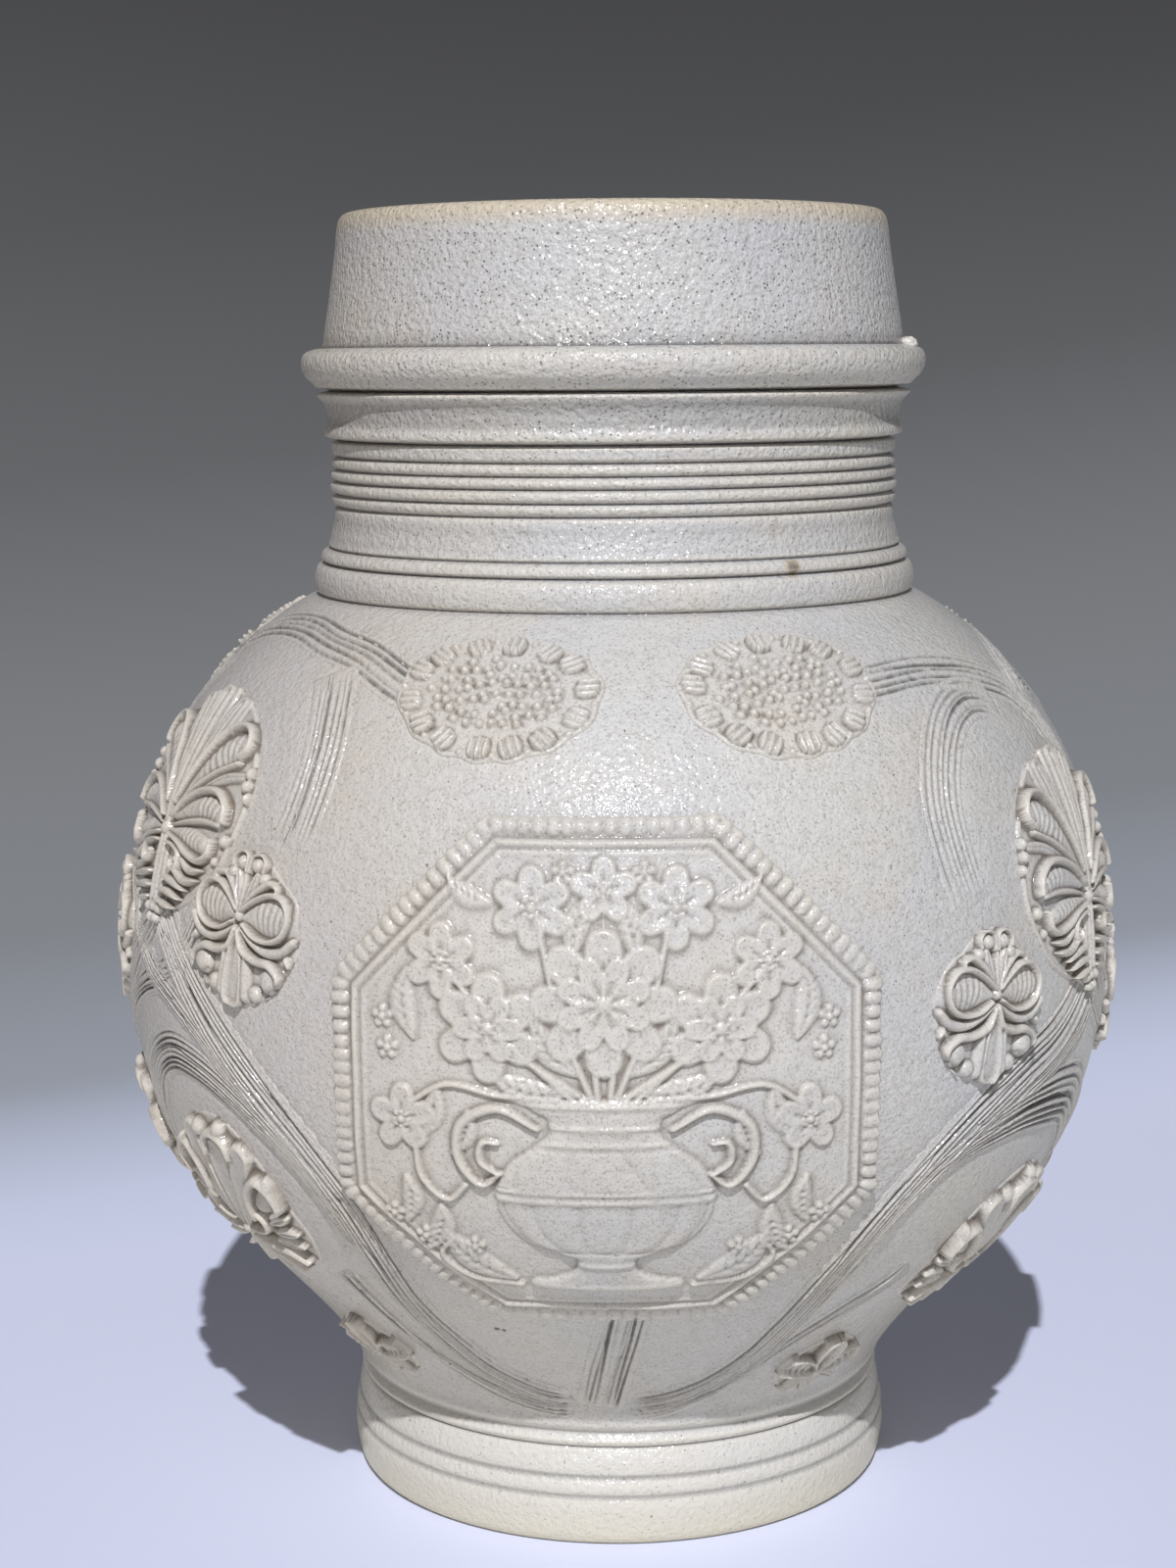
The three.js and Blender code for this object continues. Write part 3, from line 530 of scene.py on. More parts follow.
def inside_belly():
    """The inside of the wall, from the shoulder down to the floor, with the finger rings left by throwing."""
    distance = np.linspace(BELLY_LENGTH - 12, 22, 60)
    radius, height, outward, upward = on_belly(distance)
    inset = WALL + FINGER_RING * np.sin(distance * 2 * np.pi / FINGER_PITCH) + 0.4
    side = np.stack([radius - inset * outward, height - inset * upward], -1)
    low_radius, low_height = side[-1]
    rise = low_height - FLOOR
    well = [(share * low_radius, FLOOR + up * rise) for share, up in ((0.72, 0.42), (0.38, 0.08), (0, 0))]
    return np.vstack([side, smooth_through([side[-1], *well], 2.0)[1:]])


def fine_outline():
    """The whole outline in tiny steps, with the turned grooves cut in the outside."""
    outside = [smooth_through(underside, 0.5), smooth_through(foot, 0.04), meridian[::2],
               smooth_through(neck, 0.04), smooth_through(rim, 0.1)]
    line = np.vstack([part[:-1] for part in outside])
    line[:, 1] = np.maximum(line[:, 1], 0)
    for height, rise, half in ROLLS + [(height, -depth, half) for height, depth, half in GROOVES]:
        line[:, 0] += rise * bell((line[:, 1] - height) / half) * (line[:, 0] > OUTSIDE)
    return np.vstack([line, smooth_through(bore, 0.5)[:-1], inside_belly()])


def spaced_rows(line):
    """Fewer points of the outline: close together where it bends, and farther apart where it is hidden."""
    steps = np.diff(line, axis=0)
    length = np.linalg.norm(steps, axis=1)
    seen = np.arange(len(steps)) < np.argmax(line[:, 1])
    seen &= line[:-1, 0] > FOOT_RADIUS - 6
    bearing = np.unwrap(np.arctan2(steps[:, 1], steps[:, 0]))
    bend = np.abs(np.concatenate([[0], np.diff(bearing)]))
    rows = length / np.where(seen, SHOWN_ROW, HIDDEN_ROW) + bend / BEND_A_ROW
    at = np.concatenate([[0], np.cumsum(rows)])
    even = np.linspace(0, at[-1], round(at[-1]) + 1)
    return np.stack([np.interp(even, at, line[:, 0]), np.interp(even, at, line[:, 1])], -1)


outline = spaced_rows(fine_outline())
print("outline of", len(outline), "rows")

# %% The thrown body
WHEEL_STEPS = 226
SHARP_BEND, ON_THE_WALL = 0.5, 0.6


def combed_depth(azimuth, distance):
    """How far the wall dips under the combed stems, at each place given."""
    depth = np.zeros_like(azimuth)
    for stem in COMBED.values():
        even, middle, up, _ = walk_belly(stem["route"], TRENCH_STEP)
        half = (stem["lines"] - 1) * stem["pitch"] / 2 * fanned(even / even[-1], stem.get("spread", (1, 1)))
        lift = stem.get("lift", SHORT_LIFT)
        lifted = 1 - smooth_step(0.1 * lift, 0.8 * lift, np.minimum(even, even[-1] - even))
        half = half - lifted * (half + TRENCH_STEP)
        outside = np.full_like(azimuth, np.inf)
        for a, d, reach in zip(middle, up, half):
            away = np.hypot((azimuth - a) * on_belly(distance)[0], distance - d)
            outside = np.minimum(outside, away - reach)
        depth = np.maximum(depth, TRENCH * (1 - smooth_step(*TRENCH_EDGE, outside)))
    return depth


def thrown_body():
    """The outline turned round the axis, out of true by hand, with the dips for the combed stems."""
    rows = outline[1:-1]
    angles = np.arange(WHEEL_STEPS) * 2 * np.pi / WHEEL_STEPS - np.pi
    azimuth = np.broadcast_to(angles, (len(rows), WHEEL_STEPS))
    height = np.broadcast_to(rows[:, 1:], azimuth.shape)
    radius = rows[:, :1] + off_true(azimuth, height)
    on_wall = np.abs(np.interp(rows[:, 1], meridian[:, 1], meridian[:, 0]) - rows[:, 0]) < ON_THE_WALL
    on_wall &= (rows[:, 1] > FOOT_TOP + 1.5) & (rows[:, 1] < SHOULDER - 1)
    up = np.interp(rows[:, 1], meridian[:, 1], travelled)
    distance = np.broadcast_to(up[:, None], azimuth.shape)[on_wall]
    _, _, outward, upward = on_belly(distance)
    dip = combed_depth(azimuth[on_wall], distance)
    radius[on_wall] -= dip * outward
    height = height.copy()
    height[on_wall] -= dip * upward
    body = np.stack([radius * np.sin(azimuth), -radius * np.cos(azimuth), height], -1).reshape(-1, 3)
    points = np.vstack([body, [0, 0, outline[0, 1]], [0, 0, outline[-1, 1]]])
    way = way_along(outline)
    way = 0.01 + 0.98 * way / way[-1]
    sheet = tube_sheet(np.arange(WHEEL_STEPS + 1) / WHEEL_STEPS, way[1:-1], hubs=way[[0, -1]])
    bow = np.gradient(np.unwrap(np.arctan2(*np.gradient(outline, axis=0).T[::-1])))[1:-1]
    # Painted shade: the turned grooves are darkened by how sharply the outline bends in, less where the belly
    # meets the foot.
    convex, concave = np.clip(bow / SHARP_BEND, 0, 1), np.clip(-bow / SHARP_BEND, 0, 1)
    concave *= np.where(np.abs(rows[:, 1] - FOOT_TOP) < 4, 0.35, 1.0)
    edge = np.append(np.repeat(convex, WHEEL_STEPS), [0, 0])
    crease_shade = np.append(np.repeat(concave, WHEEL_STEPS), [0, 0])
    return piece("thrown_pot", points, tube_faces(len(rows), WHEEL_STEPS), sheet, edge, crease_shade,
                 thrown_glaze, (BODY,))


thrown_body()

# %% [markdown]
# One white crumb fell from the kiln roof and fused to the collar. It is small, but it breaks the outline.

# %% The crumb on the collar
def crumb(azimuth, out, height, across):
    """A lump of kiln wash, a little longer than high, half sunk in the glaze."""
    random = np.random.default_rng(5)
    turn, tilt = np.meshgrid(np.arange(16) * np.pi / 8, np.linspace(0, np.pi, 11)[1:-1])
    reach = across / 2 * (1 + 0.08 * random.normal(size=turn.shape))
    lump = np.stack([1.3 * np.sin(tilt) * np.cos(turn), np.sin(tilt) * np.sin(turn), -np.cos(tilt)], -1)
    bearing = math.radians(azimuth)
    seat = (out * math.sin(bearing), -out * math.cos(bearing), height)
    points = (reach[..., None] * lump + seat).reshape(-1, 3)
    rows, columns = turn.shape
    middle = points.mean(axis=0)
    points = np.vstack([points, middle - (0, 0, across / 2), middle + (0, 0, across / 2)])
    sheet = tube_sheet(np.linspace(0, 1, columns + 1), np.linspace(0.1, 0.9, rows))
    return piece("kiln_crumb", points, tube_faces(rows, columns), sheet, np.ones(len(points)),
                 np.zeros(len(points)), thrown_glaze)


crumb(77.8, 55.6, 215.4, 2.6)

# %% [markdown]
# A comb of bone or wood leaves a bundle of lines side by side, with a little ridge of pushed clay between
# two teeth. A revolve can't hold lines that wander, so each stem is a narrow strip of fine mesh that
# follows its route. The strip lies level with the wall at its borders and dives under it at the very edge.

# %% The combed stems
COMB_STEP, COMB_DIVE, MARGIN_COLUMNS = 0.9, 1.0, 6
WANDER, PUSHED_UP, TOOTH = 0.12, 0.14, 0.4
NICK_EVERY = 26.0
BESIDE_A_LINE = (-0.34, -0.17, 0, 0.17, 0.34)


def combed_stem(name, route, lines, pitch, depth, ragged, stands, seed, spread=(1, 1), lift=SHORT_LIFT):
    """A strip of fine mesh with a comb's lines cut in it. They fade out over `lift` mm at both ends."""
    random = np.random.default_rng(seed)
    even, azimuth, distance, along = walk_belly(route, COMB_STEP)
    pitch = pitch * fanned(even / even[-1], spread)[:, None]
    left = np.minimum(even, even[-1] - even)
    fade = smooth_step(0.25 * lift, lift, left)
    wander = random.normal(size=(lines, 4))
    waves = [sum(wander[line, k] * np.sin(even / (6.0 + 8 * k) + 5 * wander[line, 3 - k]) for k in range(4))
             for line in range(lines)]
    waves = np.stack(waves, -1)
    middles = (np.arange(lines) - (lines - 1) / 2 + WANDER * waves) * pitch
    inner = (lines - 1) / 2 * pitch[:, 0]
    half = inner + COMB_BORDER
    columns = []
    for line in range(lines):
        columns += [middles[:, line] + share * pitch[:, 0] for share in BESIDE_A_LINE]
        if line < lines - 1:
            columns.append((middles[:, line] + middles[:, line + 1]) / 2)
    margin = np.linspace(0, 0.9, MARGIN_COLUMNS)
    columns = [columns[0] * m - half * (1 - m) for m in margin] + columns
    columns += [columns[-1] * m + half * (1 - m) for m in margin[::-1]]
    q = np.stack(columns, -1)
    bundle = smooth_step(COMB_BORDER - 0.65, COMB_BORDER - 0.1, half[:, None] - np.abs(q))
    level = 0.02 + 0.004 * seed + stands * smooth_step(0, 6, left)[:, None] * bundle
    out = level.copy()
    for line in range(lines):
        rough = ragged * random.normal(size=len(even))
        own = (depth * random.uniform(0.6, 1.15) * (1 + 0.2 * waves[:, line] + rough) * fade)[:, None]
        off = np.abs(q - middles[:, line:line + 1]) / pitch
        out -= own * np.clip(1 - off / TOOTH, 0, 1) ** 0.8
        out += PUSHED_UP * own * bell((off - 0.5) / 0.2)
    for _ in range(round(even[-1] / NICK_EVERY)):
        at, side = random.uniform(6, even[-1] - 6), random.uniform(-0.5, 0.5) * inner.mean()
        skewed = even[:, None] - at - 0.35 * (q - side)
        out -= 0.4 * depth * bell(skewed / 0.5) * bell((q - side) / (0.9 * pitch))
    border = smooth_step(0, 0.5, half[:, None] - np.abs(q)) * smooth_step(0, 1.6, left)[:, None]
    height = out * border - COMB_DIVE * (1 - border)
    radius = on_belly(distance)[0]
    around = azimuth[:, None] + q * along[:, 1:] / radius[:, None]
    up = distance[:, None] - q * along[:, :1]
    points = bent(around, up, height).reshape(-1, 3)
    rows, columns = out.shape
    front = grid_faces(rows, columns)
    start = np.arange(rows - 1) * columns
    back = np.stack([start + columns - 1, start, start + columns, start + 2 * columns - 1], -1)
    ends = [list(range(columns))[::-1], list(range((rows - 1) * columns, rows * columns))]
    v = np.linspace(0, 1, rows)
    sheet = [grid_sheet(np.linspace(0.08, 1, columns), v)]
    sheet += [[0.05, a, 0.01, a, 0.01, b, 0.05, b] for a, b in zip(v[:-1], v[1:])]
    sheet += [[x for k in range(columns) for x in (0.06 + 0.01 * end, k / columns)] for end in (0, 1)]
    edge = 0.8 * np.clip((out - level) / 0.1, 0, 1).ravel()
    # Painted shade: the comb's grooves are painted darker the deeper they are cut.
    crease_shade = np.clip((level - 0.1 - out) / 0.38, 0, 1).ravel()
    return piece(name, points, [*front.reshape(-1, 4), *back, *ends], sheet, edge, crease_shade,
                 thrown_glaze)


for number, (name, stem) in enumerate(COMBED.items()):
    combed_stem(name, seed=number + 1, **stem)

# %% [markdown]
# A sprig is clay pressed in a small carved mould, lifted out as a thin wafer with the ornament on its face,
# and stuck on with slip. In the mesh it is a square grid bent to the wafer's outline, because a grid keeps
# its cells even and gives a clean edge all round. The ornament is then laid on in strokes, as a mould maker
# cuts it: a blade along a route for a leaf or a stem, a pearl for a berry, a cut for a fine line.

# %% A mould
BURIED, HOLLOW_BACK = 0.6, 0.4
CREASE_REACH, PROUD = 14, 0.3
SECTIONS = {
    "round": lambda q: np.sqrt(1 - q * q),
    "soft": lambda q: 1 - q * q,
    "spoon": lambda q: (0.35 + 0.65 * smooth_step(0.3, 0.8, np.abs(q))) * smooth_step(0, 0.22, 1 - np.abs(q)),
    "fluted": lambda q: np.sqrt(1 - q * q) * (0.84 + 0.16 * np.cos(4.2 * np.pi * q)),
    "veined": lambda q: 0.8 * np.sqrt(1 - q * q) - 0.25 * bell(q / 0.16),
    "petal": lambda q: (0.7 + 0.3 * q * q) * smooth_step(0, 0.3, 1 - np.abs(q)),
}


def pile(low, high, soften=0.22):
    """The higher of two surfaces, with the crease between them filled a little, as glaze fills it."""
    mix = np.maximum(soften - np.abs(low - high), 0) / soften
    return np.maximum(low, high) + mix * mix * soften / 4


def softened(grid, times):
    """Heights averaged with their neighbours."""
    for _ in range(times):
        p = np.pad(grid, 1, mode="edge")
        grid = (p[:-2, 1:-1] + p[2:, 1:-1] + p[1:-1, :-2] + p[1:-1, 2:] + 4 * grid) / 8
    return grid


def hand_cut(pairs, soften=6.0):
    """A wafer's outline from a few (bearing, reach) pairs, the same left and right, with eased corners."""
    bearings = np.arange(-180, 180)
    table = np.interp(np.abs(bearings), *np.array(pairs, float).T)
    waves = np.fft.rfft(table) * np.exp(-((np.arange(181) * math.radians(soften)) ** 2) / 2)
    knife = 0.12 * np.sin(np.radians(7 * bearings)) + 0.1 * np.sin(np.radians(11 * bearings))
    table = np.fft.irfft(waves, 360) + knife
    return lambda bearing: np.interp(bearing, bearings, table, period=360)


class Mould:
    """Heights in mm over a grid bent to a wafer's outline: u to the right, v up, w out of the pot.

    The grid is cut twice as fine as the mesh, and averaged down, so that slanting edges come out clean.
    """

    def __init__(self, outline, pitch, face, ease=1.2):
        steps = 4 * round(outline(np.arange(360.0)).mean() / pitch * (1.0))
        side = np.linspace(-1, 1, steps + 1)
        a, b = np.meshgrid(side, side)
        wide = np.abs(a) > np.abs(b)
        longer, shorter = np.where(wide, a, b), np.where(wide, b, a)
        turn = np.pi / 4 * shorter / np.where(longer == 0, 1, longer)
        x = longer * np.where(wide, np.cos(turn), np.sin(turn))
        y = longer * np.where(wide, np.sin(turn), np.cos(turn))
        bearing = np.arctan2(x, y)
        reach = outline(np.degrees(bearing))
        self.u = np.abs(longer) * reach * np.sin(bearing)
        self.v = np.abs(longer) * reach * np.cos(bearing)
        self.inward = (1 - np.abs(longer)) * reach
        self.face = face
        eased = 1 - np.clip(self.inward / ease, 0, 1)
        self.w = -BURIED + (face + BURIED) * np.sqrt(1 - eased**2)

    def around(self, line, reach):
        """Which grid points lie near a line, their share of its length, and their signed distance to it."""
        low, high = line.min(axis=0) - reach, line.max(axis=0) + reach
        near = (self.u > low[0]) & (self.u < high[0]) & (self.v > low[1]) & (self.v < high[1])
        place = np.stack([self.u[near], self.v[near]], -1)[:, None]
        start, step = line[:-1], np.diff(line, axis=0)
        along = np.clip(((place - start) * step).sum(-1) / (step**2).sum(-1), 0, 1)
        gap = place - start - along[..., None] * step
        away = np.hypot(gap[..., 0], gap[..., 1])
        k = away.argmin(axis=1)
        row = np.arange(len(k))
        side = np.sign(step[k, 0] * gap[row, k, 1] - step[k, 1] * gap[row, k, 0])
        return near, (k + along[row, k]) / len(step), away[row, k] * side

    def blade(self, route, width, rise, section="round", swell=(0.5, 1.5, 0.4), hatch=0, hatch_from=0.12,
              both=True):
        """A leaf, stem or rim. swell is its width at the start, towards the middle and at the end."""
        line = smooth_through(route, 0.4)
        for side in (1, -1) if both else (1,):
            near, t, off = self.around(line * (side, 1), width)
            root, middle, tip = swell
            half = width / 2 * (root * (1 - t) ** 2 + 2 * middle * t * (1 - t) + tip * t * t)
            q = side * off / half
            inside = np.abs(q) < 1
            q = np.where(inside, q, 1)
            h = SECTIONS[section](q)
            if hatch:
                cut = smooth_step(hatch_from, hatch_from + 0.15, t) * (t < 0.97) * (1 - np.abs(q)) ** 0.7
                h = h + 0.15 * np.cos(2 * np.pi * hatch * t) * cut
            self.w[near] = np.where(inside, pile(self.w[near], self.face + rise * h), self.w[near])

    def cut(self, route, width, depth, both=True):
        """A fine line cut along a route."""
        line = smooth_through(route, 0.4)
        for side in (1, -1) if both else (1,):
            near, _, off = self.around(line * (side, 1), 2 * width)
            self.w[near] -= depth * bell(2 * off / width)

    def pearl(self, u, v, across, rise, both=True):
        """A berry or bead."""
        for side in (1, -1) if both and u else (1,):
            share = np.hypot(self.u - side * u, self.v - v) * 2 / across
            dome = np.sqrt(np.clip(1 - share**2, 0, 1))
            self.w = np.where(share < 1, pile(self.w, self.face + rise * dome), self.w)

    def rim(self, inward, width, rise):
        """A fine raised line that follows the wafer's edge."""
        self.w += rise * bell((self.inward - inward) / (width / 2))


def lute(mould, node, turn=0.0, node_below_middle=0.0, full_shade_depth=0.22):
    """Presses a sprig and sticks it where the CAD sprig is, whose middle may lie above the ornament's knot.

    The last argument is the depth in mm at which a crease is fully darkened by painted shade.
    """
    (azimuth, up), half = seat_of(node)
    cos, sin = math.cos(math.radians(turn)), math.sin(math.radians(turn))
    up -= node_below_middle
    grid_u, grid_v, w = mould.u[::2, ::2], mould.v[::2, ::2], softened(mould.w, 2)[::2, ::2]
    rows, columns = w.shape
    stands = w - softened(w, CREASE_REACH)
    loop = np.concatenate([
        np.arange(columns), np.arange(2, rows + 1) * columns - 1,
        (rows - 1) * columns + np.arange(columns - 2, -1, -1), np.arange(rows - 2, 0, -1) * columns])
    u, v, w = grid_u.ravel(), grid_v.ravel(), w.ravel()
    w[loop] = -BURIED
    shares = [0.95, 0.75, 0.5, 0.25]
    rings_behind = len(shares)
    back_u = np.concatenate([share * u[loop] for share in shares] + [[0]])
    back_v = np.concatenate([share * v[loop] for share in shares] + [[0]])
    u, v = np.append(u, back_u), np.append(v, back_v)
    w = np.append(w, np.full(len(back_u), -BURIED - HOLLOW_BACK))
    u, v = cos * u + sin * v, cos * v - sin * u
    points = bent(azimuth + u / on_belly(up + v)[0], up + v, w)
    rings = np.vstack([loop, rows * columns + np.arange(rings_behind * len(loop)).reshape(rings_behind, -1)])
    after = np.roll(rings, -1, axis=1)
    back = np.stack([rings[:-1], rings[1:], after[1:], after[:-1]], -1).reshape(-1, 4)
    hub = len(u) - 1
    fan = np.stack([np.full(len(loop), hub), after[-1], rings[-1]], -1)
    front = grid_faces(rows, columns).reshape(-1, 4)
    sheet = [grid_sheet(np.linspace(0.01, 0.99, columns), np.linspace(0.08, 0.99, rows))]
    low = np.arange(len(loop)) / len(loop)
    high = low + 1 / len(loop)
    for ring in range(rings_behind + 1):
        under, over = np.full(len(loop), 0.01 * ring + 0.005), np.full(len(loop), 0.01 * ring + 0.014)
        strip = [low, under, low, over, high, over, high, under]
        triangles = [(low + high) / 2, over, high, under, low, under]
        sheet.append(np.stack(strip if ring < rings_behind else triangles, -1))
    zeros = np.zeros(len(back_u))
    edge = np.append(np.clip(stands.ravel() / PROUD, 0, 1), zeros)
    # Painted shade: the further a point sinks below its surroundings, the darker it is painted.
    crease_shade = np.append(np.clip(-stands.ravel() / full_shade_depth, 0, 1), zeros)
    print("  half sizes", np.round((np.ptp(u) / 2, np.ptp(v) / 2), 1), "CAD", np.round(half, 1))
    return piece(node + "_sprig", points, [*front, *back, *fan], sheet, edge, crease_shade,
                 pressed_glaze, (node,))


# %% [markdown]
# The rosette lies high on the shoulder: fourteen plump beads, each scored with a few ribs, round a low
# cushion of small pearls.

# %% The shoulder rosettes
ROSETTE_WIDTH, ROSETTE_HEIGHT, ROSETTE_BEADS = 37.0, 27.0, 14


def oval(bearing):
    """How far the rosette's wafer reaches at a bearing, with a lobe for each bead."""
    angle = np.radians(bearing)
    across = np.hypot(ROSETTE_HEIGHT * np.sin(angle), ROSETTE_WIDTH * np.cos(angle))
    return ROSETTE_WIDTH * ROSETTE_HEIGHT / 2 / across + 0.3 * np.cos(ROSETTE_BEADS * angle)


def rosette():
    mould = Mould(oval, 0.2, face=0.3, ease=1.0)
    random = np.random.default_rng(11)
    t = np.linspace(0, 2 * np.pi, 400)
    ring = np.stack([(ROSETTE_WIDTH / 2 - 2.9) * np.sin(t), (ROSETTE_HEIGHT / 2 - 2.8) * np.cos(t)], -1)
    way = way_along(ring)
    mould.rim(0.7, 0.7, 0.18)
    for k in range(ROSETTE_BEADS):
        at = (k + 0.1 * random.normal()) * way[-1] / ROSETTE_BEADS
        plump = 1.15 + 0.2 * random.normal()
        middle = np.array([np.interp(at, way, ring[:, c], period=way[-1]) for c in (0, 1)])
        radial = middle / np.linalg.norm(middle)
        mould.pearl(*middle, 4.2, 0.75 * plump, both=False)
        for beside in (-1.3, 0, 1.3):
            rib = middle + beside * radial[::-1] * (-1, 1)
            reach = 1.75 - 0.25 * abs(beside)
            mould.blade([rib - reach * radial, rib, rib + reach * radial], 1.45, plump,
                        swell=(0.5, 1.4, 0.5), both=False)
        between = at + way[-1] / ROSETTE_BEADS / 2
        notch = [np.interp(between, way, ring[:, c], period=way[-1]) for c in (0, 1)]
        mould.pearl(1.1 * notch[0], 1.12 * notch[1], 1.2, 0.55, both=False)
    pitch = 2.3
    for row in range(-4, 5):
        for column in range(-6, 7):
            u = (column + 0.5 * (row % 2)) * pitch + 0.34 * random.normal()
            v = row * pitch * 0.87 + 0.34 * random.normal()
            if (u / 12.4) ** 2 + (v / 7.7) ** 2 < 1:
                mould.pearl(u, v, 1.4 + 0.25 * random.random(), 0.75 + 0.35 * random.random(), both=False)
    return mould


rosette_mould = rosette()
for hand, turn in (("left", 5), ("right", -5)):
    lute(rosette_mould, f"shoulder_rosette_front_{hand}", turn, full_shade_depth=0.28)
    lute(rosette_mould, f"shoulder_rosette_side_{hand}", full_shade_depth=0.28)

# %% [markdown]
# The great palmette spreads its leaves over the side of the belly: a tall fluted leaf, spoons with a
# rolled rim and fine hatching, a band that ends in three pearls, and crescent leaves down both sides of
# the stem, which ends in a few berries.

# %% The great palmettes
def great_palmette():
    mould = Mould(hand_cut([
        (0, 28.0), (20, 27.6), (45, 26.6), (65, 25.6), (90, 23.4), (113, 20.8), (135, 17.6), (158, 15.4),
        (180, 17.8)]), 0.22, face=0.35)
    mould.rim(0.8, 0.7, 0.25)
    mould.blade([(1.2, 3), (4.4, 13), (7.6, 24.2)], 6.4, 1.15, "fluted", (0.3, 1.4, 0.9))
    mould.blade([(3.2, 5.0), (8.6, 11.6), (13.6, 15.8), (16.8, 16.6)], 6.4, 1.2, "soft", (0.4, 1.5, 1.0),
                11, 0.35)
    mould.blade([(1.6, 3.4), (7.1, 8.2), (12.1, 11.2), (17.6, 13.4)], 1.5, 1.5, swell=(0.4, 1.3, 0.7))
    mould.blade([(1.8, 4.6), (5.0, 11.6), (8.6, 17.3), (12.0, 19.9), (15.6, 20.2), (18.2, 18.4), (18.9, 15.8),
                 (17.6, 14.4)], 1.7, 2.1, swell=(0.5, 1.3, 0.7))
    mould.blade([(2.0, 2.6), (8.6, 7.4), (15.4, 10.6), (20.4, 11.2)], 2.2, 1.1, "veined", (0.3, 1.4, 0.8))
    for u, v in ((22.0, 11.9), (22.2, 9.6), (23.9, 7.5)):
        mould.pearl(u, v, 2.4, 1.4)
    mould.blade([(3.0, 2.4), (9.4, 4.6), (15.0, 4.9), (18.4, 3.6)], 4.8, 1.2, "soft", (0.4, 1.5, 1.0),
                9, 0.45)
    mould.blade([(2.4, 0.7), (8.0, 1.9), (13.6, 2.5), (18.6, 2.2)], 1.3, 1.4, swell=(0.4, 1.3, 0.8))
    mould.blade([(2.0, 2.0), (6.6, 5.9), (12.0, 7.9), (16.6, 7.5), (19.6, 5.2), (20.3, 2.8)], 1.6, 2.1,
                swell=(0.4, 1.5, 0.7))
    mould.blade([(2.4, -0.2), (8.0, -0.6), (14.6, -1.6)], 3.4, 1.0, "soft", (0.4, 1.5, 1.0), 8, 0.3)
    mould.blade([(2.4, -0.9), (7.1, -2.0), (11.4, -3.7), (15.7, -4.3), (18.2, -2.8), (18.2, -0.6)], 1.5, 1.9,
                swell=(0.5, 1.4, 0.7))
    mould.pearl(21.3, -0.3, 2.4, 1.5)
    mould.pearl(19.6, -4.0, 1.8, 1.0)
    mould.blade([(2.2, -2.4), (5.2, -2.7), (8.2, -4.0), (8.4, -6.2), (6.4, -6.7), (5.4, -5.2)], 1.3, 1.8)
    mould.pearl(6.6, -4.9, 1.5, 1.3)
    for width, *route in ((1.9, (9.8, -4.6), (12.8, -6.2), (16.6, -6.0)),
                          (2.0, (7.8, -6.9), (11.2, -8.2), (15.6, -7.9)),
                          (1.9, (3.4, -8.2), (7.4, -8.9), (12.4, -9.9)),
                          (1.9, (2.8, -10.6), (6.8, -10.9), (10.8, -11.6)),
                          (1.6, (2.4, -12.6), (5.4, -13.2), (8.4, -13.4))):
        mould.blade(route, width, 1.7, swell=(0.4, 1.5, 0.2))
    mould.blade([(0, -1), (0, -7), (0, -12.4)], 4.4, 1.4, "fluted", (0.9, 1.0, 1.0), both=False)
    mould.blade([(0, 1), (0, 13), (0, 25.6)], 7.4, 1.7, "fluted", (0.35, 1.4, 1.0), both=False)
    mould.pearl(0, 0, 3.0, 1.9)
    for u, v in ((0, -14.0), (2.4, -14.2), (1.2, -16.0)):
        mould.pearl(u, v, 2.2, 1.5)
    return mould


great_mould = great_palmette()
for hand, turn in (("left", -2), ("right", 2)):
    lute(great_mould, f"great_palmette_{hand}", turn, 6.6)

# %% [markdown]
# The small palmette hangs under a combed drop: a bud with two berries, two ribbed shells with a rolled
# rim, straps that curl down over round lobes, and a spoon-shaped lobe at the bottom.

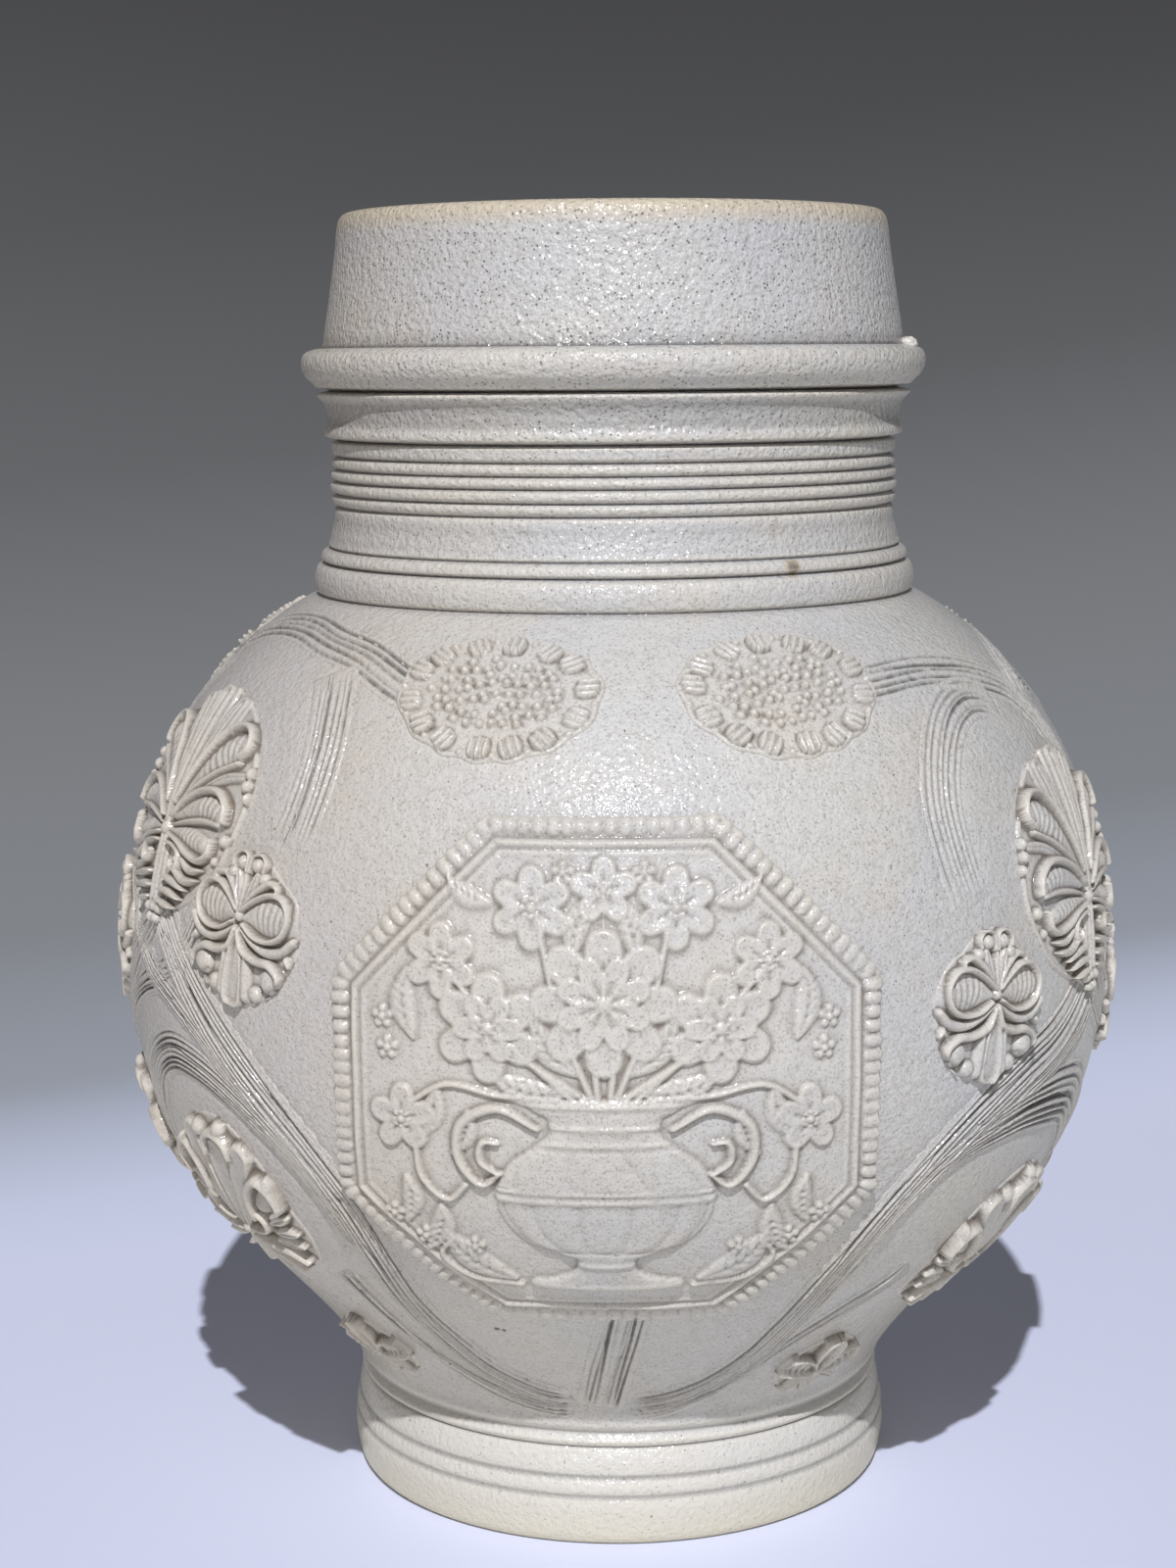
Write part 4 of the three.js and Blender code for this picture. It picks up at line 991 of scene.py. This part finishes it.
# %% The small palmettes
def small_palmette():
    mould = Mould(hand_cut([
        (0, 11.6), (25, 10.8), (45, 10.4), (62, 12.2), (85, 13.8), (105, 14.4), (125, 14.8), (150, 15.4),
        (180, 15.6)]), 0.18, face=0.22, ease=0.7)
    mould.blade([(1.0, -0.2), (6.0, 0.9), (10.6, 0.7)], 6.6, 1.15, "soft", (0.3, 1.4, 1.0), 7, 0.25)
    mould.blade([(0.6, 1.0), (3.4, 3.2), (6.6, 4.6), (9.8, 4.2), (11.6, 1.8), (10.8, -1.4), (8.0, -3.0),
                 (4.6, -2.9), (1.4, -1.2)], 1.4, 2.0, swell=(0.7, 1.2, 0.6))
    mould.blade([(0.6, 1.6), (3.2, 4.8), (6.0, 6.4), (7.9, 5.6), (7.6, 4.6)], 1.7, 1.6)
    mould.pearl(4.0, 6.8, 2.5, 1.6)
    mould.blade([(0.8, 1.4), (1.7, 4.6), (2.4, 7.2)], 2.8, 1.7, "veined", (0.5, 1.4, 0.5))
    mould.blade([(0, 1), (0, 4), (0, 7)], 1.5, 1.5, both=False)
    mould.pearl(1.9, 8.8, 2.8, 1.9)
    mould.blade([(0.3, 7.4), (0.8, 10.2), (2.7, 10.6), (4.1, 9.2), (3.8, 7.9)], 0.9, 1.6, swell=(0.8, 1, 0.6))
    mould.blade([(0.8, -2.0), (4.0, -3.9), (7.6, -4.9), (10.8, -4.2), (13.0, -2.2)], 1.8, 1.5,
                swell=(0.5, 1.3, 0.9))
    mould.blade([(2.6, -5.6), (2.9, -9.4), (3.2, -13.2)], 2.8, 1.4, "soft", (0.5, 1.2, 1.0))
    mould.blade([(0, -4), (0, -9), (0, -13.4)], 4.8, 1.5, "spoon", (0.4, 1.3, 1.2), both=False)
    mould.pearl(8.7, -9.6, 4.6, 1.8)
    mould.cut([(7.2, -10.6), (8.6, -11.4), (10.2, -10.6)], 0.7, 0.5)
    mould.pearl(5.4, -12.4, 3.0, 1.3)
    mould.blade([(0.4, -2.4), (1.8, -5.4), (5.2, -6.7), (8.8, -6.9), (11.2, -8.8), (11.2, -11.0)], 1.9, 1.9,
                swell=(0.6, 1.2, 0.7))
    mould.blade([(12.0, -5.4), (13.2, -6.6)], 1.8, 1.2, "soft", (1, 1, 0.4))
    mould.blade([(9.4, -12.6), (7.6, -13.4)], 1.6, 1.1, "soft", (1, 1, 0.4))
    mould.pearl(0, 0, 2.4, 1.9)
    return mould


small_mould = small_palmette()
for hand in ("left", "right"):
    lute(small_mould, f"small_palmette_front_{hand}", 4, -0.4)
    lute(small_mould, f"small_palmette_side_{hand}", -4, -0.4)

# %% [markdown]
# The lower palmette stands where the belly curves in to the foot: leaves that roll outward at the tip, a
# hatched volute, a spiral, and petals that point down along the combed root.

# %% The lower palmettes
def lower_palmette():
    mould = Mould(hand_cut([
        (0, 24.8), (15, 24.2), (34, 21.6), (59, 18.2), (80, 17.8), (98, 17.0), (122, 13.4), (150, 10.6),
        (180, 10.2)]), 0.2, face=0.25, ease=0.8)
    mould.blade([(0.4, 1.5), (0.6, 9), (0, 17.6)], 5.4, 2.0, "petal", (0.3, 1.3, 1.1), both=False)
    mould.blade([(1.2, 1.4), (4.4, 8.0), (6.0, 14.6), (7.4, 19.0)], 5.2, 2.1, "petal", (0.3, 1.4, 1.1))
    mould.blade([(-2.4, 16.4), (-1.6, 20.4), (1.6, 21.6), (4.6, 20.4), (5.2, 18.0)], 2.0, 2.6, both=False)
    mould.pearl(2.2, 22.6, 3.4, 2.1, both=False)
    mould.pearl(-4.6, 20.6, 3.8, 2.2, both=False)
    mould.blade([(8.4, 8.6), (10.4, 10.8), (11.8, 12.4)], 5.8, 1.5, "soft", (0.8, 1.0, 0.8), 7, 0.0)
    mould.blade([(6.4, 5.4), (6.4, 9.4), (7.8, 13.0), (10.8, 15.4), (13.8, 13.8), (14.4, 10.6), (12.2, 8.6)],
                1.9, 2.6, swell=(0.6, 1.4, 0.7))
    mould.pearl(13.6, 15.0, 4.0, 2.3)
    mould.blade([(2.4, 1.6), (5.6, 1.8), (8.0, 3.2), (8.2, 5.6), (6.6, 6.6), (5.6, 5.2)], 1.5, 2.4)
    for route in ([(9.4, 5.0), (14.4, 7.9)], [(9.8, 2.8), (15.4, 4.4)], [(8.6, 0.4), (15.4, 1.2)]):
        mould.blade(route, 3.0, 2.0, "veined", (0.4, 1.5, 0.3))
    mould.blade([(0, 0), (0, -4), (0, -8.6)], 3.6, 1.9, "soft", (0.8, 1.0, 0.9), both=False)
    mould.blade([(1.8, -0.8), (6.4, -1.8), (10.8, -1.6), (14.4, -2.8)], 2.4, 2.2, swell=(0.4, 1.5, 0.5))
    mould.blade([(1.8, -2.2), (5.6, -4.2), (9.0, -5.2), (11.6, -6.2)], 2.3, 2.0, swell=(0.4, 1.5, 0.4))
    mould.blade([(1.6, -3.6), (4.0, -6.4), (6.6, -8.0)], 2.0, 1.8, swell=(0.4, 1.5, 0.4))
    mould.pearl(0, 0, 3.0, 2.4)
    return mould


lower_mould = lower_palmette()
for hand, turn in (("left", 8), ("right", -8)):
    lute(lower_mould, f"lower_palmette_front_{hand}", turn, 7.2)
    lute(lower_mould, f"lower_palmette_side_{hand}", 0, 7.2)

# %% [markdown]
# A little palmette of three lobes sits just over the foot at each side of the front.

# %% The foot palmettes
def foot_palmette():
    mould = Mould(hand_cut([
        (0, 10.8), (30, 9.8), (66, 9.9), (100, 8.4), (140, 7.0), (180, 6.8)]), 0.18, face=0.35)
    mould.rim(0.7, 0.6, 0.2)
    mould.blade([(0.8, 0.6), (4.4, 2.6), (7.2, 3.6)], 5.2, 1.7, "spoon", (0.3, 1.4, 1.1), hatch=4)
    mould.blade([(0.6, -0.8), (3.6, -2.4), (6.0, -3.8)], 3.0, 1.5, "veined", (0.4, 1.5, 0.4))
    mould.blade([(0, 1), (0, 5), (0, 8.2)], 5.4, 1.9, "spoon", (0.3, 1.4, 1.0), both=False)
    mould.blade([(0, -1), (0, -3.4), (0, -5.6)], 2.6, 1.4, "fluted", (0.8, 1, 0.6), both=False)
    mould.pearl(0, 0, 2.4, 1.8)
    return mould


foot_mould = foot_palmette()
for hand in ("left", "right"):
    lute(foot_mould, f"foot_palmette_{hand}", 0, 2.1)

# %% [markdown]
# The medallion is the largest sprig, an octagon nearly the width of a hand. A row of beads runs round its
# edge, then a groove and a fine raised fillet. On the field stands a bunch of flowers in a footed vase, a
# common motif for such jugs, in the same low, crisp relief.

# %% The medallion's border
ACROSS_FLATS = 93.0
BEAD_PITCH, BEAD_FROM_EDGE = 2.3, 1.85
FIELD = 1.7


def octagon(bearing):
    """How far the medallion's wafer reaches at a bearing."""
    return ACROSS_FLATS / 2 / np.cos(np.radians((bearing + 22.5) % 45 - 22.5))


def medallion_wafer():
    """The octagon with its row of beads, its groove and its fillets. The beads differ, as hand-cut ones do."""
    mould = Mould(octagon, 0.316, face=FIELD, ease=0.9)
    bearing = np.degrees(np.arctan2(mould.u, mould.v))
    off_side = np.radians((bearing + 22.5) % 45 - 22.5)
    reach = np.hypot(mould.u, mould.v)
    inward = ACROSS_FLATS / 2 - reach * np.cos(off_side)
    along = reach * np.sin(off_side)
    side = np.floor((bearing + 22.5) / 45)
    fit = (ACROSS_FLATS / 2 - BEAD_FROM_EDGE) * 2 * math.tan(math.pi / 8)
    beads = round(fit / BEAD_PITCH)
    number = np.clip(np.round(along / fit * beads + (beads - 1) / 2), 0, beads - 1)
    middle = (number - (beads - 1) / 2) * fit / beads
    uneven, other = np.sin(12.9 * number + 7.3 * side), np.sin(5.1 * number + 3.7 * side)
    plump = (np.abs(side) % 4 == 0) | (side == -3)
    width = np.where(plump, 1.28, 1.16) + 0.14 * uneven
    height = np.where(plump, 1.45, 1.75) + 0.2 * other
    q = np.hypot((along - middle - 0.15 * other) / width, (inward - BEAD_FROM_EDGE - 0.12 * uneven) / height)
    dome = np.sqrt(np.clip(1 - q * q, 0, 1))
    worn = 0.75 + 0.25 * np.sin(along / 5.3 + 2.1 * side) * np.sin(0.7 * side)
    bed = FIELD - 0.3 * bell(((inward - BEAD_FROM_EDGE) / 1.9) ** 2)
    mould.w = np.where(mould.w > bed, bed, mould.w)
    mould.w = np.where(q < 1, pile(mould.w, bed + (1.0 + 0.25 * uneven) * worn * dome - 0.05, 0.5), mould.w)
    fillet = 0.6 + 0.15 * np.sin(along / 3.1 + side)
    for place, half, rise in ((3.9, 0.35, -0.35), (4.85, 0.7, fillet), (5.7, 0.3, -0.25), (6.4, 0.45, 0.25)):
        mould.w += rise * bell((inward - place) / half)
    return mould


# %% The medallion's field
VASE_FOOT = -36.0
VASE_RINGS = [(1.0, 0.25), (6.2, 0.35), (19.4, 0.4), (21.0, 0.4), (29.6, 0.35), (32.4, 0.4), (36.0, 0.35)]
VASE = [(12.6, 0), (12.4, 1.6), (9.0, 2.6), (4.8, 5.2), (4.8, 7.0), (7.4, 8.2), (13.8, 11.4), (17.2, 16.6),
        (17.6, 20.8), (15.2, 25.8), (11.0, 29.2), (8.8, 31.4), (9.0, 33.4), (12.0, 35.4), (12.8, 37.0)]


def vase(mould, rise):
    """A turned vase with a fluted bowl, a leafy shoulder and raised rings."""
    shape = smooth_through(VASE, 0.3)
    height = mould.v - VASE_FOOT
    half = np.interp(height, shape[:, 1], shape[:, 0], left=0.01, right=0.01)
    q = mould.u / half
    inside = (np.abs(q) < 1) & (half > 0.1)
    q = np.where(inside, q, 1)
    turned = np.arcsin(q)
    low_band, high_band = (height > 8.6) & (height < 18.6), (height > 21.6) & (height < 28.4)
    flutes = 0.34 * np.abs(np.cos(6.5 * turned)) ** 0.6 * smooth_step(8.6, 10, height)
    leaves = 0.3 * np.abs(np.cos(4.5 * turned + 0.12 * (height - 24))) ** 0.5
    body = rise * (1 - q * q) ** 0.3 - (0.3 - flutes) * low_band - 0.25 + leaves * high_band
    for ring, raised in VASE_RINGS:
        body = body + raised * bell((height - ring) / 0.45) * inside
    mould.w = np.where(inside, pile(mould.w, mould.face + body), mould.w)


def all_round(count, turned=0.0):
    """Evenly spread directions, each as its parts to the right and up."""
    angles = [2 * math.pi * (k + turned) / count for k in range(count)]
    return [(math.sin(angle), math.cos(angle)) for angle in angles]


def flower(mould, u, v, reach, petals, rise, rings=1):
    """Rings of petals round a button with a row of fine pearls."""
    for ring in range(rings):
        length = reach * (1 - 0.34 * ring)
        width = 1.75 * length * math.sin(math.pi / petals)
        for east, north in all_round(petals, 0.5 * ring):
            route = [(u + d * length * east, v + d * length * north) for d in (0.2, 0.55, 0.84)]
            mould.blade(route, width, rise * (1 + 0.3 * ring), "petal", (0.4, 1.2, 0.95), both=False)
            mould.cut(route[:2], 0.55, 0.3, both=False)
    mould.pearl(u, v, 0.36 * reach, 1.4 * rise, both=False)
    for east, north in all_round(8):
        mould.pearl(u + 0.26 * reach * east, v + 0.26 * reach * north, 0.13 * reach + 0.3, 1.25 * rise,
                    both=False)


def leaf(mould, u, v, length, width, turn, rise):
    """A bowed leaf with a vein and side veins, growing from (u, v) towards the bearing `turn`."""
    east, north = math.sin(math.radians(turn)), math.cos(math.radians(turn))
    bow = 0.12 * length
    route = [(u, v), (u + 0.5 * length * east + bow * north, v + 0.5 * length * north - bow * east),
             (u + length * east, v + length * north)]
    mould.blade(route, width, rise, "veined", (0.2, 1.7, 0.15))
    for share in (0.3, 0.45, 0.6, 0.75):
        x, y = u + share * length * east + 0.8 * bow * north, v + share * length * north - 0.8 * bow * east
        for side in (-1, 1):
            tip = (x + 0.3 * width * (east + side * north), y + 0.3 * width * (north - side * east))
            mould.cut([(x, y), tip], 0.5, 0.22)


VASE_MOUTH = VASE_FOOT + VASE[-1][1]
STEMS = [[(1, VASE_MOUTH), (1.4, 8), (0, 14)], [(3, VASE_MOUTH), (9, 5), (17, 10)],
         [(2, VASE_MOUTH), (7, 14), (10.5, 30)], [(5, VASE_MOUTH), (14, 9), (25, 21)],
         [(7, VASE_MOUTH), (17, 1.4), (26, 2.6), (32, -1)],
         [(31, -8), (30, -14), (25.4, -17.6), (22.6, -14.6)],
         [(14, -35.4), (23, -34), (27.4, -29), (25, -25.6)]]
LEAVES = [(6, VASE_MOUTH + 1, 12, 5.0, 78), (4, VASE_MOUTH + 4, 12, 4.6, 38), (27, 2, 10, 4.6, 152),
          (15, -34, 15, 6.0, 50), (31, 10, 11, 4.8, 6), (5, 23.5, 11, 4.4, -22), (27, -19, 10, 4.6, 164),
          (18, 32, 8, 3.8, 62), (22, -1.6, 8, 3.8, 160), (33, -14, 9, 4.0, 178)]
STARS = [(35.6, 8), (36.4, 13), (6.4, 37), (35.4, -21.4), (30, -25.6), (21.6, -27)]


def medallion():
    mould = medallion_wafer()
    for route in STEMS:
        mould.blade(route, 1.2, 0.95, swell=(1, 1, 0.8))
    for u, v, length, width, turn in LEAVES:
        leaf(mould, u, v, length, width, turn, 1.0)
    flower(mould, 0, 16.4, 10.6, 8, 1.2, rings=2)
    for side in (-1, 1):
        flower(mould, side * 18.4, 12.2, 7.4, 6, 1.1, rings=2)
        flower(mould, side * 11.4, 31.4, 5.6, 6, 1.05)
        flower(mould, side * 26.2, 22.6, 5.2, 6, 1.0)
        flower(mould, side * 33.2, -3.6, 4.6, 5, 1.0)
    mould.blade([(10.6, -4), (17.4, -0.8), (23.2, -4), (23.4, -10.4), (19.4, -14.2), (16.8, -12)], 1.9, 1.3)
    mould.blade([(17.2, -12.2), (20.2, -9.6), (19.4, -6.6), (17.0, -6.8)], 1.3, 1.2)
    vase(mould, 1.5)
    for u, v in STARS:
        for east, north in all_round(5):
            mould.pearl(u + 1.3 * east, v + 1.3 * north, 1.5, 0.8)
        mould.pearl(u, v, 1.5, 1.1)
    flower(mould, 0, 34.2, 4.4, 5, 1.0)
    return mould


lute(medallion(), "octagonal_medallion", full_shade_depth=0.4)

# %% [markdown]
# The handle is pulled: a lump of clay is stroked downward with a wet hand until it is a long strap, so it
# has three soft ribs on its back and fine finger lines along it. It is set on the neck, bent over, and
# pressed on the shoulder with the thumb. Both ends run a little way into the wall.

# %% The strap handle
HANDLE_WIDTH, HANDLE_THICKNESS, HANDLE_FLARE = 25.0, 9.5, 1.28
HANDLE_TOP, HANDLE_FOOT_UP = 194.1, 33.0
ROOTED = 3.0
RIB_AT, DIP_AT, THUMB_DEPTH = 0.82, 0.44, 1.6


def handle_line():
    """The middle line of the strap, from the neck to the shoulder, in mm out from the axis and up."""
    seat_radius, seat_height, _, _ = on_belly(np.interp(GIRTH, meridian[:, 1], travelled) + HANDLE_FOOT_UP)
    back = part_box("strap_handle")[1].y / MM - 0.57 * HANDLE_THICKNESS
    stand_off, drop, spring = back - NECK_RADIUS, HANDLE_TOP - seat_height, 0.26 * HANDLE_THICKNESS
    return smooth_through([
        (NECK_RADIUS - ROOTED, HANDLE_TOP - 0.1),
        (NECK_RADIUS + 0.22 * stand_off, HANDLE_TOP + spring),
        (back - 0.3 * stand_off, HANDLE_TOP + 0.4 * spring),
        (back - 0.2 * spring, HANDLE_TOP - 0.24 * drop),
        (back, HANDLE_TOP - 0.5 * drop),
        (seat_radius + 0.1 * stand_off, seat_height + 0.2 * drop),
        (seat_radius - ROOTED, seat_height),
    ], 0.8)


def strap_handle():
    """The ribbed section carried along the strap's line, wider at both ends, with the mark of a thumb."""
    line = handle_line()
    share = np.linspace(0, 1, len(line))
    ahead_of = directions(np.gradient(line, axis=0))
    outward = np.stack([-ahead_of[:, 1], ahead_of[:, 0]], -1)
    outward *= np.sign(outward[len(line) // 2, 0])
    ring = smooth_through([
        (-1, 0), (-RIB_AT, 0.84), (-DIP_AT, 0.66), (0, 0.92), (DIP_AT, 0.66), (RIB_AT, 0.84), (1, 0),
        (0.74, -0.82), (0, -0.96), (-0.74, -0.82), (-1, 0)], 0.06)[:-1]
    flare = 1 + (HANDLE_FLARE - 1) * np.abs(2 * share - 1) ** 3
    root = np.minimum(share, 1 - share) * len(line) * 0.8
    swollen = 1 + 0.22 * bell(root / 5)
    x = ring[:, 0] * HANDLE_WIDTH / 2 * flare[:, None]
    t = ring[:, 1] * HANDLE_THICKNESS / 2 * swollen[:, None]
    on_back = ring[:, 1] > 0
    finger = 0.07 * np.sin(9.0 * x) * np.sin(4.1 * x + 0.5)
    thumb = bell((share[:, None] - 0.93) / 0.035) * bell(x / 6.5)
    t = t + np.where(on_back, finger - THUMB_DEPTH * thumb, 0.5 * finger)
    place = line[:, None] + t[..., None] * outward[:, None]
    points = np.concatenate([x[..., None], place], -1).reshape(-1, 3)
    rows, columns = x.shape
    points = np.vstack([points, points[:columns].mean(axis=0), points[-columns:].mean(axis=0)])
    sheet = tube_sheet(np.linspace(0.01, 0.99, columns + 1), np.linspace(0.04, 0.96, rows), gap=0.01)
    crest = bell((np.abs(ring[:, 0]) - RIB_AT) / 0.12) * on_back
    # Painted shade in the two grooves along the back of the strap.
    groove = bell((np.abs(ring[:, 0]) - DIP_AT) / 0.14) * on_back
    edge = np.append(np.tile(0.8 * crest, rows), [0, 0])
    crease_shade = np.append(np.tile(0.5 * groove, rows), [0, 0])
    return piece("pulled_strap", points, tube_faces(rows, columns), sheet, edge, crease_shade, pulled_glaze,
                 ("strap_handle",))


strap_handle()

# %% [markdown]
# The jug stands on a sheet of paper that lies flat and then rises behind it, bluish white below and grey
# above:
# the grey is painted shade for the light that falls off up the paper. It is only a stage, so it is left clear
# from behind, and what it throws back on the jug is neutral. A strong lamp far off, above the camera, gives
# the crisp shadow. A weak one, lower down, lifts the shade, and the room is even and dim: a colour renders
# about as it is written.

# %% The stage
PAPER_FRONT, PAPER_BEND, BEND_RADIUS, PAPER_TOP, PAPER_HALF, PAPER_TURN = -1.5, 0.12, 0.4, 1.6, 2.0, 26.0
PAPER_TONES = [(0.02, "#cdd3e6"), (0.06, "#9a9ea6"), (0.14, "#828486"), (0.3, "#747575"), (0.5, "#595959"),
               (0.74, "#454545")]
PAPER_LOW, PAPER_HIGH, PAPER_GREY_AT, PAPER_ROUGHNESS = "#e2e6fb", "#383838", 0.4, 0.6
GREYER_LEFTWARD, GREYER = -0.55, 1.15


def paper_with_painted_shade():
    """Backdrop paper, near white where it lies flat and painted greyer as it rises, sooner on the left:
    painted shade.
    """
    material = bpy.data.materials.new("backdrop_paper_with_painted_shade")
    material.use_nodes = True
    tree = material.node_tree
    place = add(tree, "ShaderNodeTexCoord").outputs["Object"]
    split = add(tree, "ShaderNodeSeparateXYZ", {"Vector": place})
    sockets = {0: split.outputs["X"], 1: GREYER_LEFTWARD, 2: GREYER}
    sooner = add(tree, "ShaderNodeMath", sockets, operation="MULTIPLY_ADD")
    sockets = {0: split.outputs["Z"], 1: sooner.outputs["Value"]}
    raised = add(tree, "ShaderNodeMath", sockets, operation="MULTIPLY")
    height = add(tree, "ShaderNodeMapRange", {"Value": raised.outputs["Value"], "From Max": PAPER_GREY_AT})
    # Painted shade: the ramp darkens the paper to grey as it rises, sooner on the left.
    ramp = add(tree, "ShaderNodeValToRGB", {"Fac": height.outputs["Result"]})
    stops = ramp.color_ramp.elements
    stops[0].color, stops[1].color = colour(PAPER_LOW), colour(PAPER_HIGH)
    for at, hex_code in PAPER_TONES:
        stops.new(at).color = colour(hex_code)
    seen = add(tree, "ShaderNodeLightPath").outputs["Is Camera Ray"]
    neutral = add(tree, "ShaderNodeRGBToBW", {"Color": ramp.outputs["Color"]}).outputs["Val"]
    sockets = {"Factor": seen, 6: neutral, 7: ramp.outputs["Color"]}
    tone = add(tree, "ShaderNodeMix", sockets, data_type="RGBA")
    front = tree.nodes["Principled BSDF"]
    front.inputs["Roughness"].default_value = PAPER_ROUGHNESS
    tree.links.new(tone.outputs[2], front.inputs["Base Color"])
    behind = add(tree, "ShaderNodeNewGeometry").outputs["Backfacing"]
    clear = add(tree, "ShaderNodeBsdfTransparent").outputs["BSDF"]
    sheet = add(tree, "ShaderNodeMixShader", {0: behind, 1: front.outputs["BSDF"], 2: clear})
    tree.links.new(sheet.outputs["Shader"], tree.nodes["Material Output"].inputs["Surface"])
    return material


bend = [math.radians(5 * k) for k in range(19)]
curl = [(PAPER_BEND + BEND_RADIUS * math.sin(t), BEND_RADIUS * (1 - math.cos(t))) for t in bend]
paper_line = [(PAPER_FRONT, 0), *curl, (PAPER_BEND + BEND_RADIUS, PAPER_TOP)]
rows = [(x, y, z) for y, z in paper_line for x in (-PAPER_HALF, PAPER_HALF)]
faces = [(2 * k, 2 * k + 1, 2 * k + 3, 2 * k + 2) for k in range(len(paper_line) - 1)]
paper_mesh = bpy.data.meshes.new("backdrop_paper")
paper_mesh.from_pydata(rows, [], faces)
paper_mesh.materials.append(paper_with_painted_shade())
paper_mesh.shade_smooth()
paper = bpy.data.objects.new("backdrop_paper", paper_mesh)
paper.rotation_euler.z = math.radians(PAPER_TURN)
bpy.context.scene.collection.objects.link(paper)
print("paper of", len(paper_line), "rows")

# %% Light
LAMP_DISTANCE, LAMP_SIZE, LAMP_AIM = 8.0, 0.13, 0.12
LAMPS = {"main_lamp": (46.5, 620.0), "low_lamp": (20.0, 80.0)}
ROOM_STRENGTH = 0.08

for name, (elevation, watts) in LAMPS.items():
    light = bpy.data.lights.new(name, "AREA")
    light.shape = "DISK"
    light.size = LAMP_SIZE
    light.energy = watts
    light.color = colour("#f6f8ff")[:3]
    lamp = bpy.data.objects.new(name, light)
    rise = math.radians(elevation)
    stand = (0, -LAMP_DISTANCE * math.cos(rise), LAMP_AIM + LAMP_DISTANCE * math.sin(rise))
    lamp.matrix_world = Matrix.Translation(stand) @ Matrix.Rotation(math.pi / 2 - rise, 4, "X")
    bpy.context.scene.collection.objects.link(lamp)
    print(name, "at", [round(x, 2) for x in stand], watts, "W")

room = bpy.data.worlds.new("even_room")
room.use_nodes = True
walls = room.node_tree.nodes["Background"]
walls.inputs["Color"].default_value = colour("#e8e6e2")
walls.inputs["Strength"].default_value = ROOM_STRENGTH
bpy.context.scene.world = room
print("room light", ROOM_STRENGTH)
